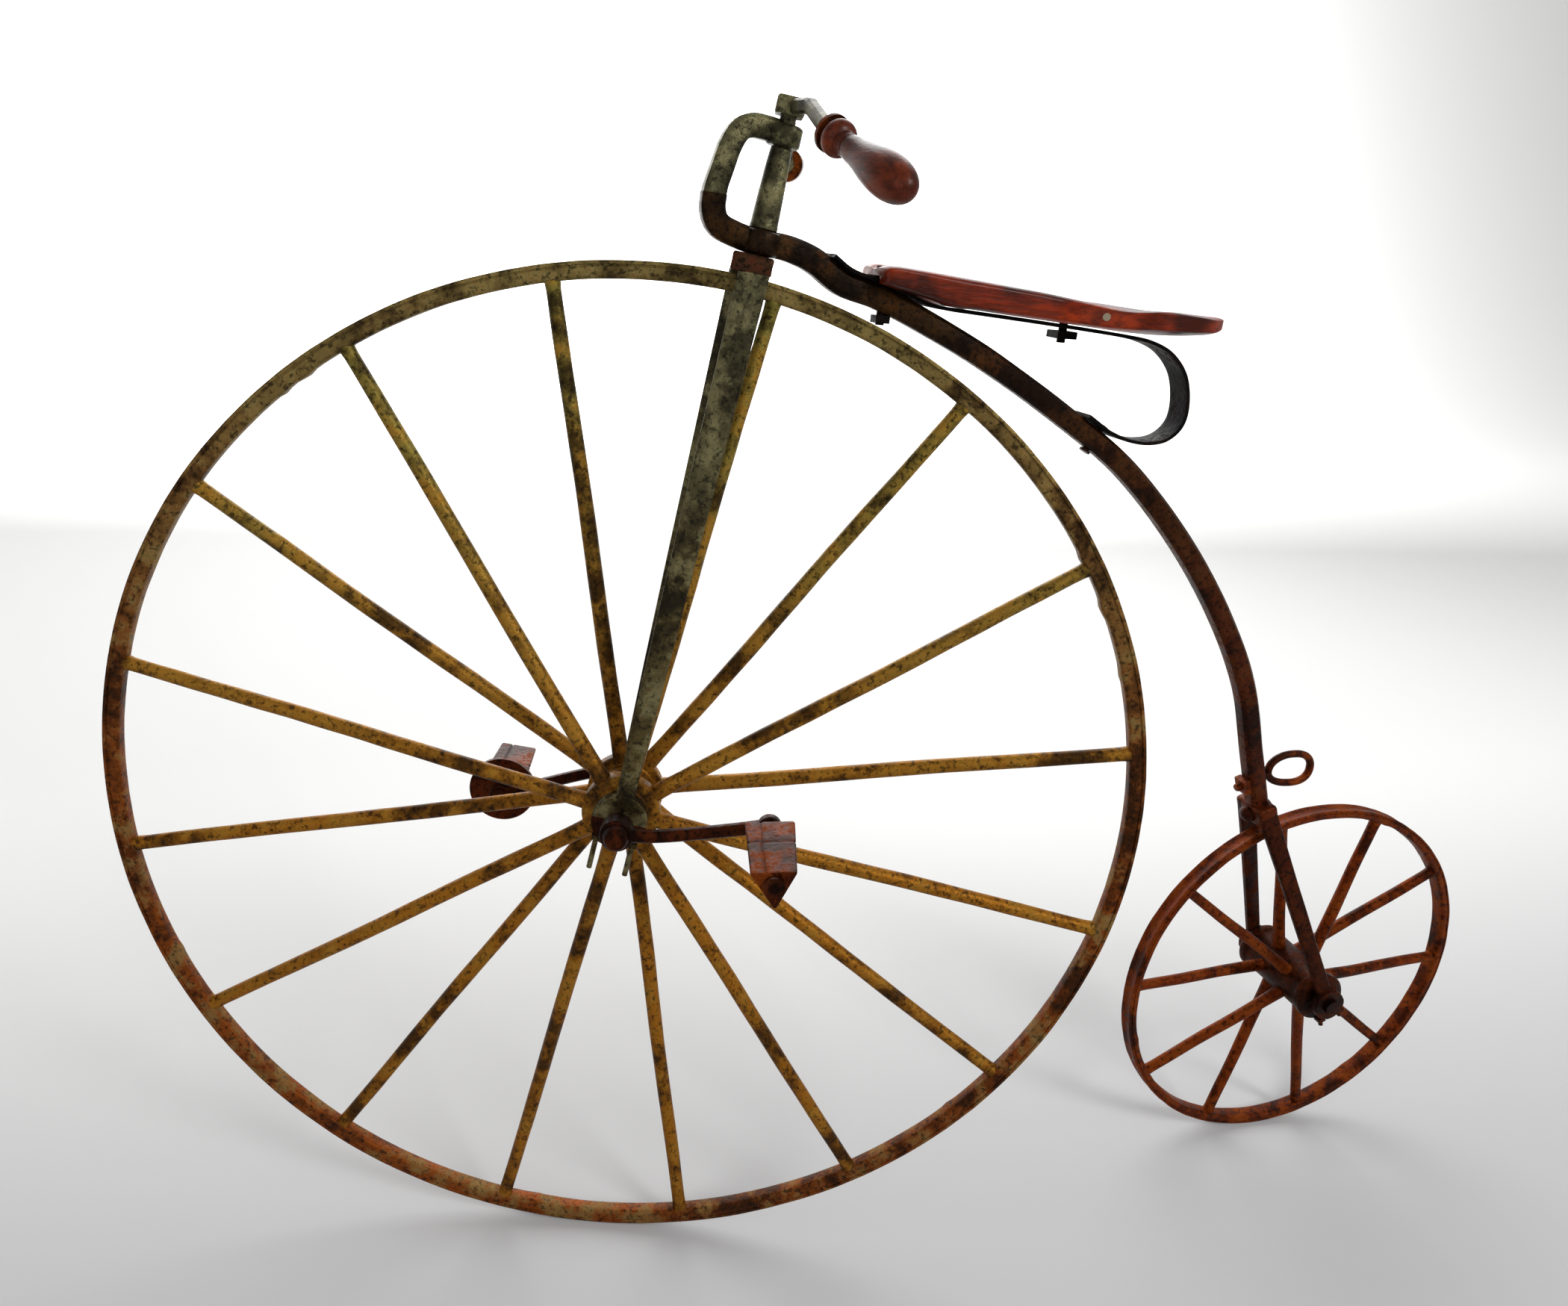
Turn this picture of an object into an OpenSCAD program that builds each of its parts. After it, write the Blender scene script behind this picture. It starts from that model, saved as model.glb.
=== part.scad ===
// A high-wheel bicycle of wrought iron with a wooden seat and wooden grips.
// +Z is up, the machine faces -X, and the rider's left is -Y.
// The design is drawn from the centre of the front hub, then lifted onto the ground.

/* [Front wheel] */
// Outer diameter of the front rim
front_d = 900; // [860:5:940]
// Width of the front rim along the axle
front_rim_w = 13.5; // [12:0.5:16]
// Radial depth of the front rim
front_rim_t = 14; // [12:0.5:16]
// Number of front spokes, an even number
front_spoke_n = 16; // [12:2:20]
// Spoke diameter at the front hub
front_spoke_d = 14; // [11:0.5:15]
// Angle of the first front spoke above the rearward direction
front_phase = 100.4; // [90:0.1:110]

/* [Rear wheel] */
// Outer diameter of the rear rim
rear_d = 405.8; // [390:0.2:416]
// Width of the rear rim along the axle
rear_rim_w = 16.4; // [14:0.2:17]
// Radial depth of the rear rim
rear_rim_t = 9.6; // [8:0.2:12]
// Number of rear spokes, an even number
rear_spoke_n = 10; // [8:2:12]
// Spoke diameter at the rear hub
rear_spoke_d = 12.4; // [10:0.2:13]
// Angle of the first rear spoke above the rearward direction
rear_phase = 72.4; // [60:0.1:80]
// Distance from the front axle back to the rear axle
wheelbase = 761.7; // [755:0.1:768]

/* [Steering] */
// Backward lean of the steering axis from upright
rake = 8.28; // [7.8:0.01:8.8]
// Distance of the steering axis behind the front axle
trail = 9; // [8:0.5:10]
// How far the front wheel is turned, negative to the rider's right
steer = -14.9; // [-20:0.1:10]
// How far the left fork blade's head is set back from the right one's
blade_set_back = 7; // [0:0.5:10]

/* [Cranks and pedals] */
// Crank length, centre to centre
crank_len = 125; // [118:1:130]
// Angle of the left crank above the rearward direction
left_crank_angle = 8; // [0:1:360]
// Angle of the right crank above the rearward direction
right_crank_angle = 197; // [0:1:360]
// Length of a pedal block along its pin
pedal_len = 78; // [70:1:84]
// Side of a pedal's triangular section at its inner end
pedal_side = 43; // [40:1:46]

/* [Backbone] */
// Height of the backbone bar
bar_h = 18.6; // [17:0.2:20]
// Thickness of the backbone bar from side to side
bar_t = 17; // [15:0.5:19]

/* [Seat] */
// Width of the seat's narrow front
seat_front_w = 54; // [50:1:60]
// Width of the seat's broad rear
seat_rear_w = 128; // [116:1:136]
// Width of the flat seat spring
spring_w = 25; // [22:0.5:28]
// Thickness of the flat seat spring
spring_t = 3; // [2.6:0.1:3.2]

/* [Hidden] */
$fn = 64;
RUN = 0.06;       // radial clearance of a running fit
front_r = front_d / 2;
rear_r = rear_d / 2;
rear_z = rear_r - front_r;                // rear axle height from the front axle
mid_x = 264.2;    // puts the origin midway between the two ends
mid_y = 1.4;      // puts the origin midway between the two sides
ground_z = 450;   // height of the front axle over the ground
axis_dir = [sin(rake), 0, cos(rake)];

// Front hub, seen along the axle
hub_flange_r = 33.5;
hub_flange_y = 21;
hub_len = 64;
journal_r = 8;
bearing_r = 23.5;
bearing_y = 38;
bearing_t = 10;
cap_bolt_gap = 15.5;
blade_t = 8.5;
blade_top_y = 18.5;
blade_forward = 6.5; // how far the right blade's head stands ahead of the steering axis
crown_front = -18.5;
crown_back = 13.5;
crown_z = 450.5;
crown_t = 12.8;
collar_z = 474.1; // middle of the backbone's lower collar, along the steering axis
spindle_z = 484.3; // foot of the spindle, just over the backbone
shoulder_z = 543; // the spindle's shoulder, just under the upper boss
boss_z = 551;     // middle of the upper boss
boss_half = 7.6;
lug_z = 571.4;    // middle of the handlebar's centre lug
lug_half = 6.4;
joint_z = 501;    // height of the joint between the backbone and the head loop
nut_seat_z = -18; // flat under each front cap that a nut bears on
rear_nut_seat_z = -13.5;

// Cranks and pedals
crank_y = 62;
crank_t = 9;
pin_r = 4.5;
pedal_y = 80;

// Rear fork and hub
rear_hub_r = 27;
rear_hub_len = 96.8;
rear_bearing_y = 57;
rear_bearing_r = 17;
yoke = [664, -42];
yoke_tilt = 22;   // angle of the backbone's rear end from upright

// Centre line of the backbone, from its front curl back to the yoke, as [x, z]
backbone_path = [[38.3, 502], [38.1, 490], [43, 480], [56, 474], [76, 469.3], [98, 467], [121, 459.5],
    [146, 444.5], [178, 436], [216, 421.5], [280, 393], [360, 350], [430, 306], [500, 243],
    [560, 173.5], [608, 100], [640, 20], [664, -42]];
// Centre line of the forward loop, from its joint with the backbone up to the boss
loop_path = [[38, 498], [39.2, 507], [43, 520], [47.6, 535], [54, 546], [63, 550.2], [74, 549.4], [84, 547.6]];
// Centre line of the flat seat spring, from its front tip round to its tail on the backbone
spring_path = [[134, 464.7], [140, 460.7], [146, 456.9], [152, 454.2], [160, 451.9], [178, 447.5],
    [190, 443.6], [205, 438.2], [218, 434], [236, 431.4], [256, 430.1], [300, 427.4], [345, 424.4],
    [400, 420.2], [425, 416.6], [446, 408], [463, 391], [471, 368], [470, 349], [458, 336],
    [440, 331.8], [420, 333.6], [404, 338.6], [396, 342.2], [388, 346.9], [378, 352.7]];

// ---------- shared shapes ----------

// A point of the smooth curve through four neighbouring points, t from the second to the third
function curve_point(a, b, c, d, t) =
    0.5 * (2 * b + (c - a) * t + (2 * a - 5 * b + 4 * c - d) * t * t + (3 * b - a - 3 * c + d) * t * t * t);
// The smooth curve through a list of points, with n steps to each span
function smooth(p, n) = concat(
    [for (i = [0 : len(p) - 2], k = [0 : n - 1])
        curve_point(p[max(i - 1, 0)], p[i], p[i + 1], p[min(i + 2, len(p) - 1)], k / n)],
    [p[len(p) - 1]]);
// The unit normal of a line of points at one of them
function normal_at(p, i) =
    let (d = p[min(i + 1, len(p) - 1)] - p[max(i - 1, 0)]) [-d[1], d[0]] / norm(d);
// The outline of a band of half width h along a line of points
function band(p, h) = concat(
    [for (i = [0 : len(p) - 1]) p[i] + h * normal_at(p, i)],
    [for (i = [len(p) - 1 : -1 : 0]) p[i] - h * normal_at(p, i)]);

// The whole machine, moved from the front hub onto the ground
module placed() translate([-mid_x, -mid_y, ground_z]) children();
// Everything that turns with the fork
module steered() placed() translate([trail, 0, 0]) rotate(a = steer, v = axis_dir)
    translate([-trail, 0, 0]) children();
// Along the steering axis: the child's Z is the axis, its origin level with the front axle
module on_axis() translate([trail, 0, 0]) rotate([0, rake, 0]) children();
// A flat shape drawn as [x, z] and given a thickness t from side to side
module upright(t) rotate([90, 0, 0]) linear_extrude(t, center = true) children();
// A rod along +Y
module rod_y(r, len) rotate([90, 0, 0]) cylinder(r = r, h = len, center = true);
// At the far end of a crank that is turned up by an angle
module at_crank(angle) rotate([0, -angle, 0]) translate([crank_len, 0, 0]) rotate([0, angle, 0]) children();
// A child repeated on both sides, mirrored for the rider's right
module both_sides() { children(); mirror([0, 1, 0]) children(); }
// A square nut of width w and height h over a hole of radius r, drawn upwards from z = 0
module square_nut(w, h, r) difference() {
    translate([-w / 2, -w / 2, 0]) cube([w, w, h]);
    translate([0, 0, -1]) cylinder(r = r, h = h + 2);
}

// ---------- wheels ----------

// A rim: a ring with a shallow groove round its outside
module rim(r, w, t) rotate([90, 0, 0]) rotate_extrude($fn = 180)
    polygon([[r - t, -w / 2 + 1.5], [r - t + 2, -w / 2], [r - 1.5, -w / 2], [r, -w / 2 + 1.5],
        [r, -w / 2 + 3.5], [r - 1.5, -w / 2 + 5], [r - 1.5, w / 2 - 5], [r, w / 2 - 3.5],
        [r, w / 2 - 1.5], [r - 1.5, w / 2], [r - t + 2, w / 2], [r - t, w / 2 - 1.5]]);

// Tapered spokes from the hub's two flanges in turn to the middle of the rim
module spokes(n, phase, first_side, root_r, root_y, tip_r, d)
    for (k = [0 : n - 1]) rotate([0, -(phase + k * 360 / n), 0]) {
        y = root_y * first_side * (k % 2 == 0 ? 1 : -1);
        run = norm([tip_r - root_r, y]);
        translate([root_r, y, 0]) rotate([0, 0, -atan2(y, tip_r - root_r)]) rotate([0, 90, 0])
            cylinder(r1 = d / 2, r2 = d * 0.43, h = run, $fn = 24);
    }

module front_rim() color("#6b6a3a") steered() rim(front_r, front_rim_w, front_rim_t);
module front_spokes() color("#7c7a45") steered() difference() {
    spokes(front_spoke_n, front_phase, 1, hub_flange_r - 3, hub_flange_y, front_r - front_rim_t + 1, front_spoke_d);
    rim(front_r, front_rim_w, front_rim_t);
    hub_body(hub_flange_r, hub_len);
}
module hub_body(r, len) rotate([90, 0, 0]) rotate_extrude($fn = 72)
    polygon([[0, -len / 2], [24, -len / 2], [r - 2, -29], [r, -27], [r, -15], [r - 7, -13],
        [r - 7, 13], [r, 15], [r, 27], [r - 2, 29], [24, len / 2], [0, len / 2]]);
module front_hub() color("#5f5b34") steered() difference() {
    hub_body(hub_flange_r, hub_len);
    rod_y(journal_r, hub_len + 2);
}
module front_axle() color("#4a3a26") steered() {
    rod_y(journal_r, 2 * (crank_y + 8));
    both_sides() translate([0, -crank_y - 8, 0]) rotate([90, 0, 0]) difference() {
        sphere(r = 11);
        translate([0, 0, -15]) cube(30, center = true);
        translate([0, 0, 22]) cube(30, center = true);
    }
}

module rear_rim() color("#6e4326") placed() translate([wheelbase, 0, rear_z]) rim(rear_r, rear_rim_w, rear_rim_t);
module rear_hub_body() rotate([90, 0, 0]) rotate_extrude($fn = 72)
    polygon([[0, -rear_hub_len / 2], [rear_hub_r - 2, -rear_hub_len / 2], [rear_hub_r, -rear_hub_len / 2 + 2],
        [rear_hub_r, rear_hub_len / 2 - 2], [rear_hub_r - 2, rear_hub_len / 2], [0, rear_hub_len / 2]]);
module rear_spokes() color("#6e4a2a") placed() translate([wheelbase, 0, rear_z]) difference() {
    spokes(rear_spoke_n, rear_phase, -1, rear_hub_r - 3, 14.6, rear_r - rear_rim_t + 1, rear_spoke_d);
    rim(rear_r, rear_rim_w, rear_rim_t);
    rear_hub_body();
}
module rear_hub() color("#64421f") placed() translate([wheelbase, 0, rear_z]) difference() {
    rear_hub_body();
    rod_y(journal_r, rear_hub_len + 2);
}
module rear_axle() color("#4a3020") placed() translate([wheelbase, 0, rear_z])
    rod_y(journal_r, 2 * (rear_bearing_y + 9));

// ---------- cranks and pedals ----------

// A forged crank for the rider's left, pointing along +X
module crank() {
    arm = smooth([[0, 0], [30, -3.2], [68, -2.6], [105, -0.6], [crank_len, 0]], 5);
    difference() {
        union() {
            translate([0, -crank_y, 0]) rod_y(14, 16);
            translate([0, -crank_y - 3.5, 0]) upright(crank_t) polygon(band(arm, 5.4));
            translate([crank_len, -crank_y - 3.5, 0]) rod_y(10, crank_t);
        }
        translate([0, -crank_y, 0]) rod_y(journal_r, 20);
        translate([crank_len, -crank_y, 0]) rod_y(pin_r, 40);
    }
}
module crank_left() color("#5a3a28") steered() rotate([0, -left_crank_angle, 0]) crank();
module crank_right() color("#5a3a28") steered() rotate([0, -right_crank_angle, 0]) mirror([0, 1, 0]) crank();

// A pedal's pin for the rider's left, at the crank's eye
module pedal_pin() {
    inner = crank_y - 4;
    outer = pedal_y + pedal_len + 5;
    translate([0, -(inner + outer) / 2, 0]) rod_y(pin_r, outer - inner);
    translate([0, -inner - 1.5, 0]) rod_y(7, 3);
}
module pedal_pin_left() color("#4c3624") steered() at_crank(left_crank_angle) pedal_pin();
module pedal_pin_right() color("#4c3624") steered() at_crank(right_crank_angle) mirror([0, 1, 0]) pedal_pin();

// A pedal block: a triangular bar with its flat face up, narrower at its outer end
module pedal_triangle(side) upright(0.2) rotate(-90) circle(r = side / sqrt(3), $fn = 3);
module pedal_block(roll) difference() {
    rotate([0, roll, 0]) hull() {
        translate([0, -pedal_y - 0.1, 0]) pedal_triangle(pedal_side);
        translate([0, -pedal_y - pedal_len + 0.1, 0]) pedal_triangle(pedal_side - 6);
    }
    translate([0, -pedal_y - pedal_len / 2, 0]) rod_y(pin_r + RUN, pedal_len + 2);
}
module pedal_block_left() color("#7a4326") steered() at_crank(left_crank_angle) pedal_block(-7);
module pedal_block_right() color("#7a4326") steered() at_crank(right_crank_angle)
    mirror([0, 1, 0]) pedal_block(6);
module pedal_nut() translate([0, -pedal_y - pedal_len - 0.4, 0]) rotate([90, 0, 0]) difference() {
    cylinder(r = 8, h = 4.4);
    translate([0, 0, -1]) cylinder(r = pin_r, h = 7);
}
module pedal_nut_left() color("#3d2c20") steered() at_crank(left_crank_angle) pedal_nut();
module pedal_nut_right() color("#3d2c20") steered() at_crank(right_crank_angle) mirror([0, 1, 0]) pedal_nut();
// The round plate on the inner end of the right pedal
module pedal_flange_right() color("#3f2f22") steered() at_crank(right_crank_angle)
    translate([0, pedal_y - 2, 0]) difference() {
        rod_y(31, 4);
        rod_y(pin_r + RUN, 6);
    }

// ---------- fork and handlebar ----------

// The bearing housing's half disc; side is 1 for the upper half and -1 for the lower half
module half_housing(r, t, side) difference() {
    rod_y(r, t);
    rod_y(journal_r + RUN, t + 2);
    translate([0, 0, -side * (r + 1)]) cube([2 * r + 2, t + 2, 2 * (r + 1)], center = true);
}
// Flats cut under a bearing cap for its nuts
module nut_seats(gap, z) for (x = [-gap, gap]) translate([x, 0, z - 10]) cube([9, 20, 20], center = true);
// Two long bolts through a split bearing, with square nuts under the cap
module cap_bolts(gap, top, bottom, nut_z) for (x = [-gap, gap]) translate([x, 0, 0]) {
    translate([0, 0, bottom]) cylinder(r = 2.3, h = top - bottom, $fn = 24);
    translate([0, 0, nut_z]) rotate([180, 0, 0]) square_nut(8, 4, 2.3);
}
// The fork leans as the line from the axle to the crown does
module along_blade(set_back) rotate([0, atan2(trail + 450 * tan(rake) + set_back - blade_forward, 450), 0]) children();
module fork_blade(set_back) along_blade(set_back) {
    difference() {
        union() {
            translate([0, -bearing_y, 0]) rotate([atan((blade_top_y - bearing_y) / crown_z), 0, 0])
                upright(blade_t) polygon([[-7.6, 12], [7.6, 12], [9, 120], [11.4, 446], [8, 456.6],
                    [-8, 456.6], [-11.4, 446], [-9, 120]]);
            translate([0, -bearing_y, 0]) half_housing(bearing_r, bearing_t, 1);
        }
        for (x = [-cap_bolt_gap, cap_bolt_gap]) translate([x, -bearing_y, -1]) cylinder(r = 2.3, h = 30, $fn = 24);
        translate([0, -bearing_y, 0]) rod_y(journal_r + RUN, bearing_t + 4);
    }
}
module fork_blade_left() color("#5d5c38") steered() difference() {
    fork_blade(blade_set_back);
    crown_space();
}
module fork_blade_right() color("#5d5c38") steered() mirror([0, 1, 0]) difference() {
    fork_blade(0);
    crown_space();
}
// Everything above the underside of the crown
module crown_space() on_axis() translate([-60, -60, crown_z]) cube([120, 120, 40]);
module front_cap() translate([0, -bearing_y, 0]) difference() {
    half_housing(bearing_r, bearing_t, -1);
    for (x = [-cap_bolt_gap, cap_bolt_gap]) translate([x, 0, -30]) cylinder(r = 2.3, h = 32, $fn = 24);
    nut_seats(cap_bolt_gap, nut_seat_z);
}
module front_bearing_caps() color("#40301f") steered() {
    along_blade(blade_set_back) front_cap();
    mirror([0, 1, 0]) along_blade(0) front_cap();
}
module front_cap_bolts() color("#33301f") steered() {
    along_blade(blade_set_back) translate([0, -bearing_y, 0]) cap_bolts(cap_bolt_gap, 17, -50, nut_seat_z);
    along_blade(0) translate([0, bearing_y, 0]) cap_bolts(cap_bolt_gap, 17, -50, nut_seat_z);
}

// The crown: a flat block over both blades, with the journal that the backbone turns on
module fork_crown() color("#4e3a28") steered() on_axis() {
    translate([crown_front, -blade_top_y - 5, crown_z])
        cube([crown_back - crown_front, 2 * blade_top_y + 10, crown_t]);
    translate([0, 0, crown_z + crown_t]) cylinder(r = 9, h = spindle_z - crown_z - crown_t);
}
module steering_spindle() color("#4c4a30") steered() on_axis() {
    translate([0, 0, spindle_z]) cylinder(r1 = 11, r2 = 8, h = shoulder_z - spindle_z);
    translate([0, 0, shoulder_z]) cylinder(r = 6.5, h = lug_z + lug_half + 0.2 - shoulder_z);
}

// A flat bar of height h and thickness t between two points
module flat_bar(a, b, h, t) {
    d = b - a;
    translate(a) rotate([0, 0, atan2(d[1], d[0])]) rotate([0, -atan2(d[2], norm([d[0], d[1]])), 0])
        translate([0, -t / 2, -h / 2]) cube([norm(d), t, h]);
}
// A piece set at a point so that its Z runs along a direction
module aimed(at, d) translate(at) rotate([0, acos(d[2] / norm(d)), atan2(d[1], d[0])]) children();

lug = [trail + lug_z * sin(rake), 0, lug_z * cos(rake)];
left_bend = [104, -30, 563];
left_end = [115, -77, 541.5];
left_aim = [47, -85, -42];
right_bend = [91, 32, 562];
right_end = [95, 76, 533.5];
right_aim = [5, 98, 9.8];
module handlebar() color("#453a2c") steered() difference() {
    union() {
        on_axis() translate([0, 0, lug_z - lug_half]) cylinder(r = 11, h = 2 * lug_half);
        flat_bar(lug, left_bend, 10.6, 9);
        flat_bar(left_bend, left_end, 10.6, 9);
        flat_bar(lug, right_bend, 10.6, 9);
        flat_bar(right_bend, right_end, 10.6, 9);
        translate(left_bend) sphere(r = 5.6, $fn = 32);
        translate(right_bend) sphere(r = 5.6, $fn = 32);
        aimed(left_end, left_aim) grip_root();
        aimed(right_end, right_aim) grip_root();
    }
    on_axis() translate([0, 0, lug_z - 20]) cylinder(r = 6.5, h = 40);
}
// The bar's rounded end and the thin tang that carries a grip
module grip_root() {
    sphere(r = 6.4, $fn = 32);
    cylinder(r = 4, h = 98, $fn = 32);
}
module washer() translate([0, 0, 4]) difference() {
    cylinder(r = 13, h = 3);
    translate([0, 0, -1]) cylinder(r = 4, h = 5, $fn = 32);
    translate([0, 0, -4]) sphere(r = 6.4, $fn = 32);
}
module grip_washers() color("#5a4030") steered() {
    aimed(left_end, left_aim) washer();
    aimed(right_end, right_aim) washer();
}
// A turned grip: a bead, a narrow neck and a pear-shaped end
module grip() translate([0, 0, 7]) difference() {
    rotate_extrude($fn = 48) polygon(concat([[0, 0]],
        [for (a = [-60 : 15 : 75]) [3.5 + 9.3 * cos(a), max(0, 8 + 9.3 * sin(a))]],
        [for (t = [0 : 0.1 : 1]) [7.7 + 1.2 * t * t, 18.5 + 10 * t]],
        [for (a = [125 : -10 : 5]) [14.4 * pow(sin(a), 0.8), 66 + 33.8 * cos(a) * (a > 90 ? 1.5 : 1)]],
        [[0, 100]]));
    translate([0, 0, -5]) cylinder(r = 4, h = 96, $fn = 32);
}
module grip_left() color("#7b3f1c") steered() aimed(left_end, left_aim) grip();
module grip_right() color("#7b3f1c") steered() aimed(right_end, right_aim) grip();

// ---------- frame ----------

module backbone() color("#4d3320") placed() difference() {
    union() {
        upright(bar_t) polygon(band(smooth(backbone_path, 4), bar_h / 2));
        on_axis() translate([0, 0, collar_z - 8.8]) cylinder(r = 15, h = 17.6);
        translate([yoke[0], 0, yoke[1]]) rotate([0, -yoke_tilt, 0]) cube([20, 38, 22], center = true);
    }
    on_axis() translate([0, 0, collar_z - 30]) cylinder(r = 9 + RUN, h = 60);
    eyebolt_line() translate([0, 0, -30]) cylinder(r = 4, h = 60);
    translate([182, 0, 434]) cylinder(r = 3.5, h = 60, center = true);
    rivet_line() translate([0, 0, -30]) cylinder(r = 5, h = 60);
    spring_rivet_line() translate([0, 0, -40]) cylinder(r = 3, h = 80);
    rear_blade_space();
    translate([20, -20, joint_z]) cube([40, 40, 10]);
}
module head_loop() color("#4d4c36") placed() difference() {
    union() {
        upright(bar_t - 0.6) polygon(band(smooth(loop_path, 4), 8.9));
        on_axis() translate([0, 0, boss_z - boss_half]) cylinder(r = 13, h = 2 * boss_half);
    }
    on_axis() translate([0, 0, boss_z - 30]) cylinder(r = 6.5 + RUN, h = 60);
    on_axis() translate([0, 0, boss_z - boss_half - 20]) cylinder(r = 16, h = 20);
    on_axis() translate([0, 0, boss_z + boss_half]) cylinder(r = 16, h = 20);
    translate([20, -20, joint_z - 10]) cube([40, 40, 10]);
}

// A rear fork blade for the rider's left, from the yoke down to its split bearing
blade_run = [wheelbase - yoke[0], rear_z - yoke[1]];
blade_lean = atan2(blade_run[0], -blade_run[1]);
module on_rear_bearing() translate([wheelbase, 0, rear_z]) rotate([0, -blade_lean, 0]) children();
module rear_blade() on_rear_bearing() difference() {
    union() {
        translate([0, -rear_bearing_y, 0]) rotate([atan((15.5 - rear_bearing_y) / norm(blade_run)), 0, 0])
            upright(7) polygon([[-7.6, 11], [7.6, 11], [8.6, 150], [10.4, 238], [-10.4, 238], [-8.6, 150]]);
        translate([0, -rear_bearing_y, 0]) half_housing(rear_bearing_r, 9, 1);
    }
    for (x = [-11.5, 11.5]) translate([x, -rear_bearing_y, -1]) cylinder(r = 2.3, h = 18, $fn = 24);
    translate([0, -rear_bearing_y, 0]) rod_y(journal_r + RUN, 12);
}
// The slots in the yoke that the two rear blades are let into
module rear_blade_space() both_sides() on_rear_bearing()
    translate([0, -rear_bearing_y, 0]) rotate([atan((15.5 - rear_bearing_y) / norm(blade_run)), 0, 0])
        upright(7) polygon([[-9.4, 190], [9.4, 190], [10.4, 238], [10.4, 244], [-10.4, 244], [-10.4, 238]]);
module rear_fork_left() color("#5c3620") placed() rear_blade();
module rear_fork_right() color("#5c3620") placed() mirror([0, 1, 0]) rear_blade();
module rear_bearing_caps() color("#4c2e1c") placed() both_sides() on_rear_bearing()
    translate([0, -rear_bearing_y, 0]) difference() {
        half_housing(rear_bearing_r, 9, -1);
        for (x = [-11.5, 11.5]) translate([x, 0, -20]) cylinder(r = 2.3, h = 22, $fn = 24);
        nut_seats(11.5, rear_nut_seat_z);
    }
module rear_cap_bolts() color("#3d281b") placed() both_sides() on_rear_bearing()
    translate([0, -rear_bearing_y, 0]) cap_bolts(11.5, 14, -24, rear_nut_seat_z);

// Square across the backbone's lower end, pointing forwards
module square_to_bar(x, z) translate([x, 0, z]) rotate([0, -90 - yoke_tilt, 0]) children();
module rivet_line() square_to_bar(664, -42) children();
module yoke_rivet() color("#4f2f1d") placed() rivet_line() {
    translate([0, 0, -13]) cylinder(r = 5, h = 23);
    translate([0, 0, 10]) difference() {
        sphere(r = 8.8);
        translate([0, 0, -10]) cube(20, center = true);
    }
    translate([0, 0, -13]) cylinder(r = 8, h = 3);
}
module eyebolt_line() square_to_bar(651, -8) children();
module eyebolt() color("#5a3622") placed() {
    eyebolt_line() translate([0, 0, -14]) cylinder(r = 4, h = 36);
    translate([690, 0, 4]) rotate([90, 0, 0]) {
        for (s = [-1, 1]) translate([s * 9, 0, 0]) rotate([0, 0, -s * 90])
            rotate_extrude(angle = 180, $fn = 48) translate([16.2, 0]) circle(r = 3.8, $fn = 24);
        for (s = [-1, 1]) translate([-9, s * 16.2, 0]) rotate([0, 90, 0]) cylinder(r = 3.8, h = 18, $fn = 24);
    }
}
module eyebolt_nut() color("#5c2f1c") placed() eyebolt_line() translate([0, 0, 9.5]) square_nut(15, 7, 4);

// ---------- seat ----------

// Half the seat's width at a distance x behind the front axle
function seat_half(x) = let (t = min(max((x - 318) / 82, 0), 1), s = t * t * (3 - 2 * t),
    e = max((x - 404) / 74, 0))
    (seat_front_w + (seat_rear_w - seat_front_w) * s) / 2 * pow(max(1 - pow(e, 2.4), 0), 0.42);
seat_x = concat([for (x = [172 : 21 : 298]) x], [for (x = [312 : 8 : 456]) x], [463, 469, 474, 477, 478]);
module seat_plan() polygon(concat([for (x = seat_x) [x, seat_half(x)]],
    [for (i = [len(seat_x) - 1 : -1 : 0]) [seat_x[i], -seat_half(seat_x[i])]]));
// The seat from the side: a sloping cut under its front end, and a thin upturned tail
module seat_profile() polygon(concat([[172, 447.4], [172, 459.4], [177, 461.2]],
    smooth([[200, 460], [300, 451.5], [345, 446.4], [372, 443.2], [400, 445], [440, 442.8], [478, 442.6]], 4),
    [[478, 434.5]], smooth([[462, 429.5], [440, 424.4], [400, 423.2], [345, 426.8]], 3),
    [[256, 432.4], [236, 433.6]]));
module seat() color("#9a4a1c") placed() difference() {
    intersection() {
        translate([0, 0, 400]) linear_extrude(80) seat_plan();
        upright(200) seat_profile();
    }
    // The channel under the front end that the spring and backbone lie in
    upright(27) polygon([[160, 455.6], [182, 449.9], [237, 433.6], [237, 420], [160, 420]]);
    translate([182, 0, 440]) cylinder(r = 4.5, h = 40);
    translate([182, 0, 456.6]) cylinder(r = 8.5, h = 20);
    translate([345, 0, 400]) cylinder(r = 3.5, h = 80);
    translate([345, 0, 442.6]) cylinder(r = 8, h = 20);
    for (y = [-1, 1]) seat_nail_line(y) cylinder(r = 1.2, h = 14, $fn = 24);
}
module seat_bolt() color("#3b332a") placed() translate([345, 0, 0]) {
    translate([0, 0, 411]) cylinder(r = 3.5, h = 34);
    translate([0, 0, 442.6]) cylinder(r = 8, h = 2.6);
}
module seat_nut() color("#2f2c26") placed() translate([345, 0, 414.6]) square_nut(18, 6, 3.5);
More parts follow.
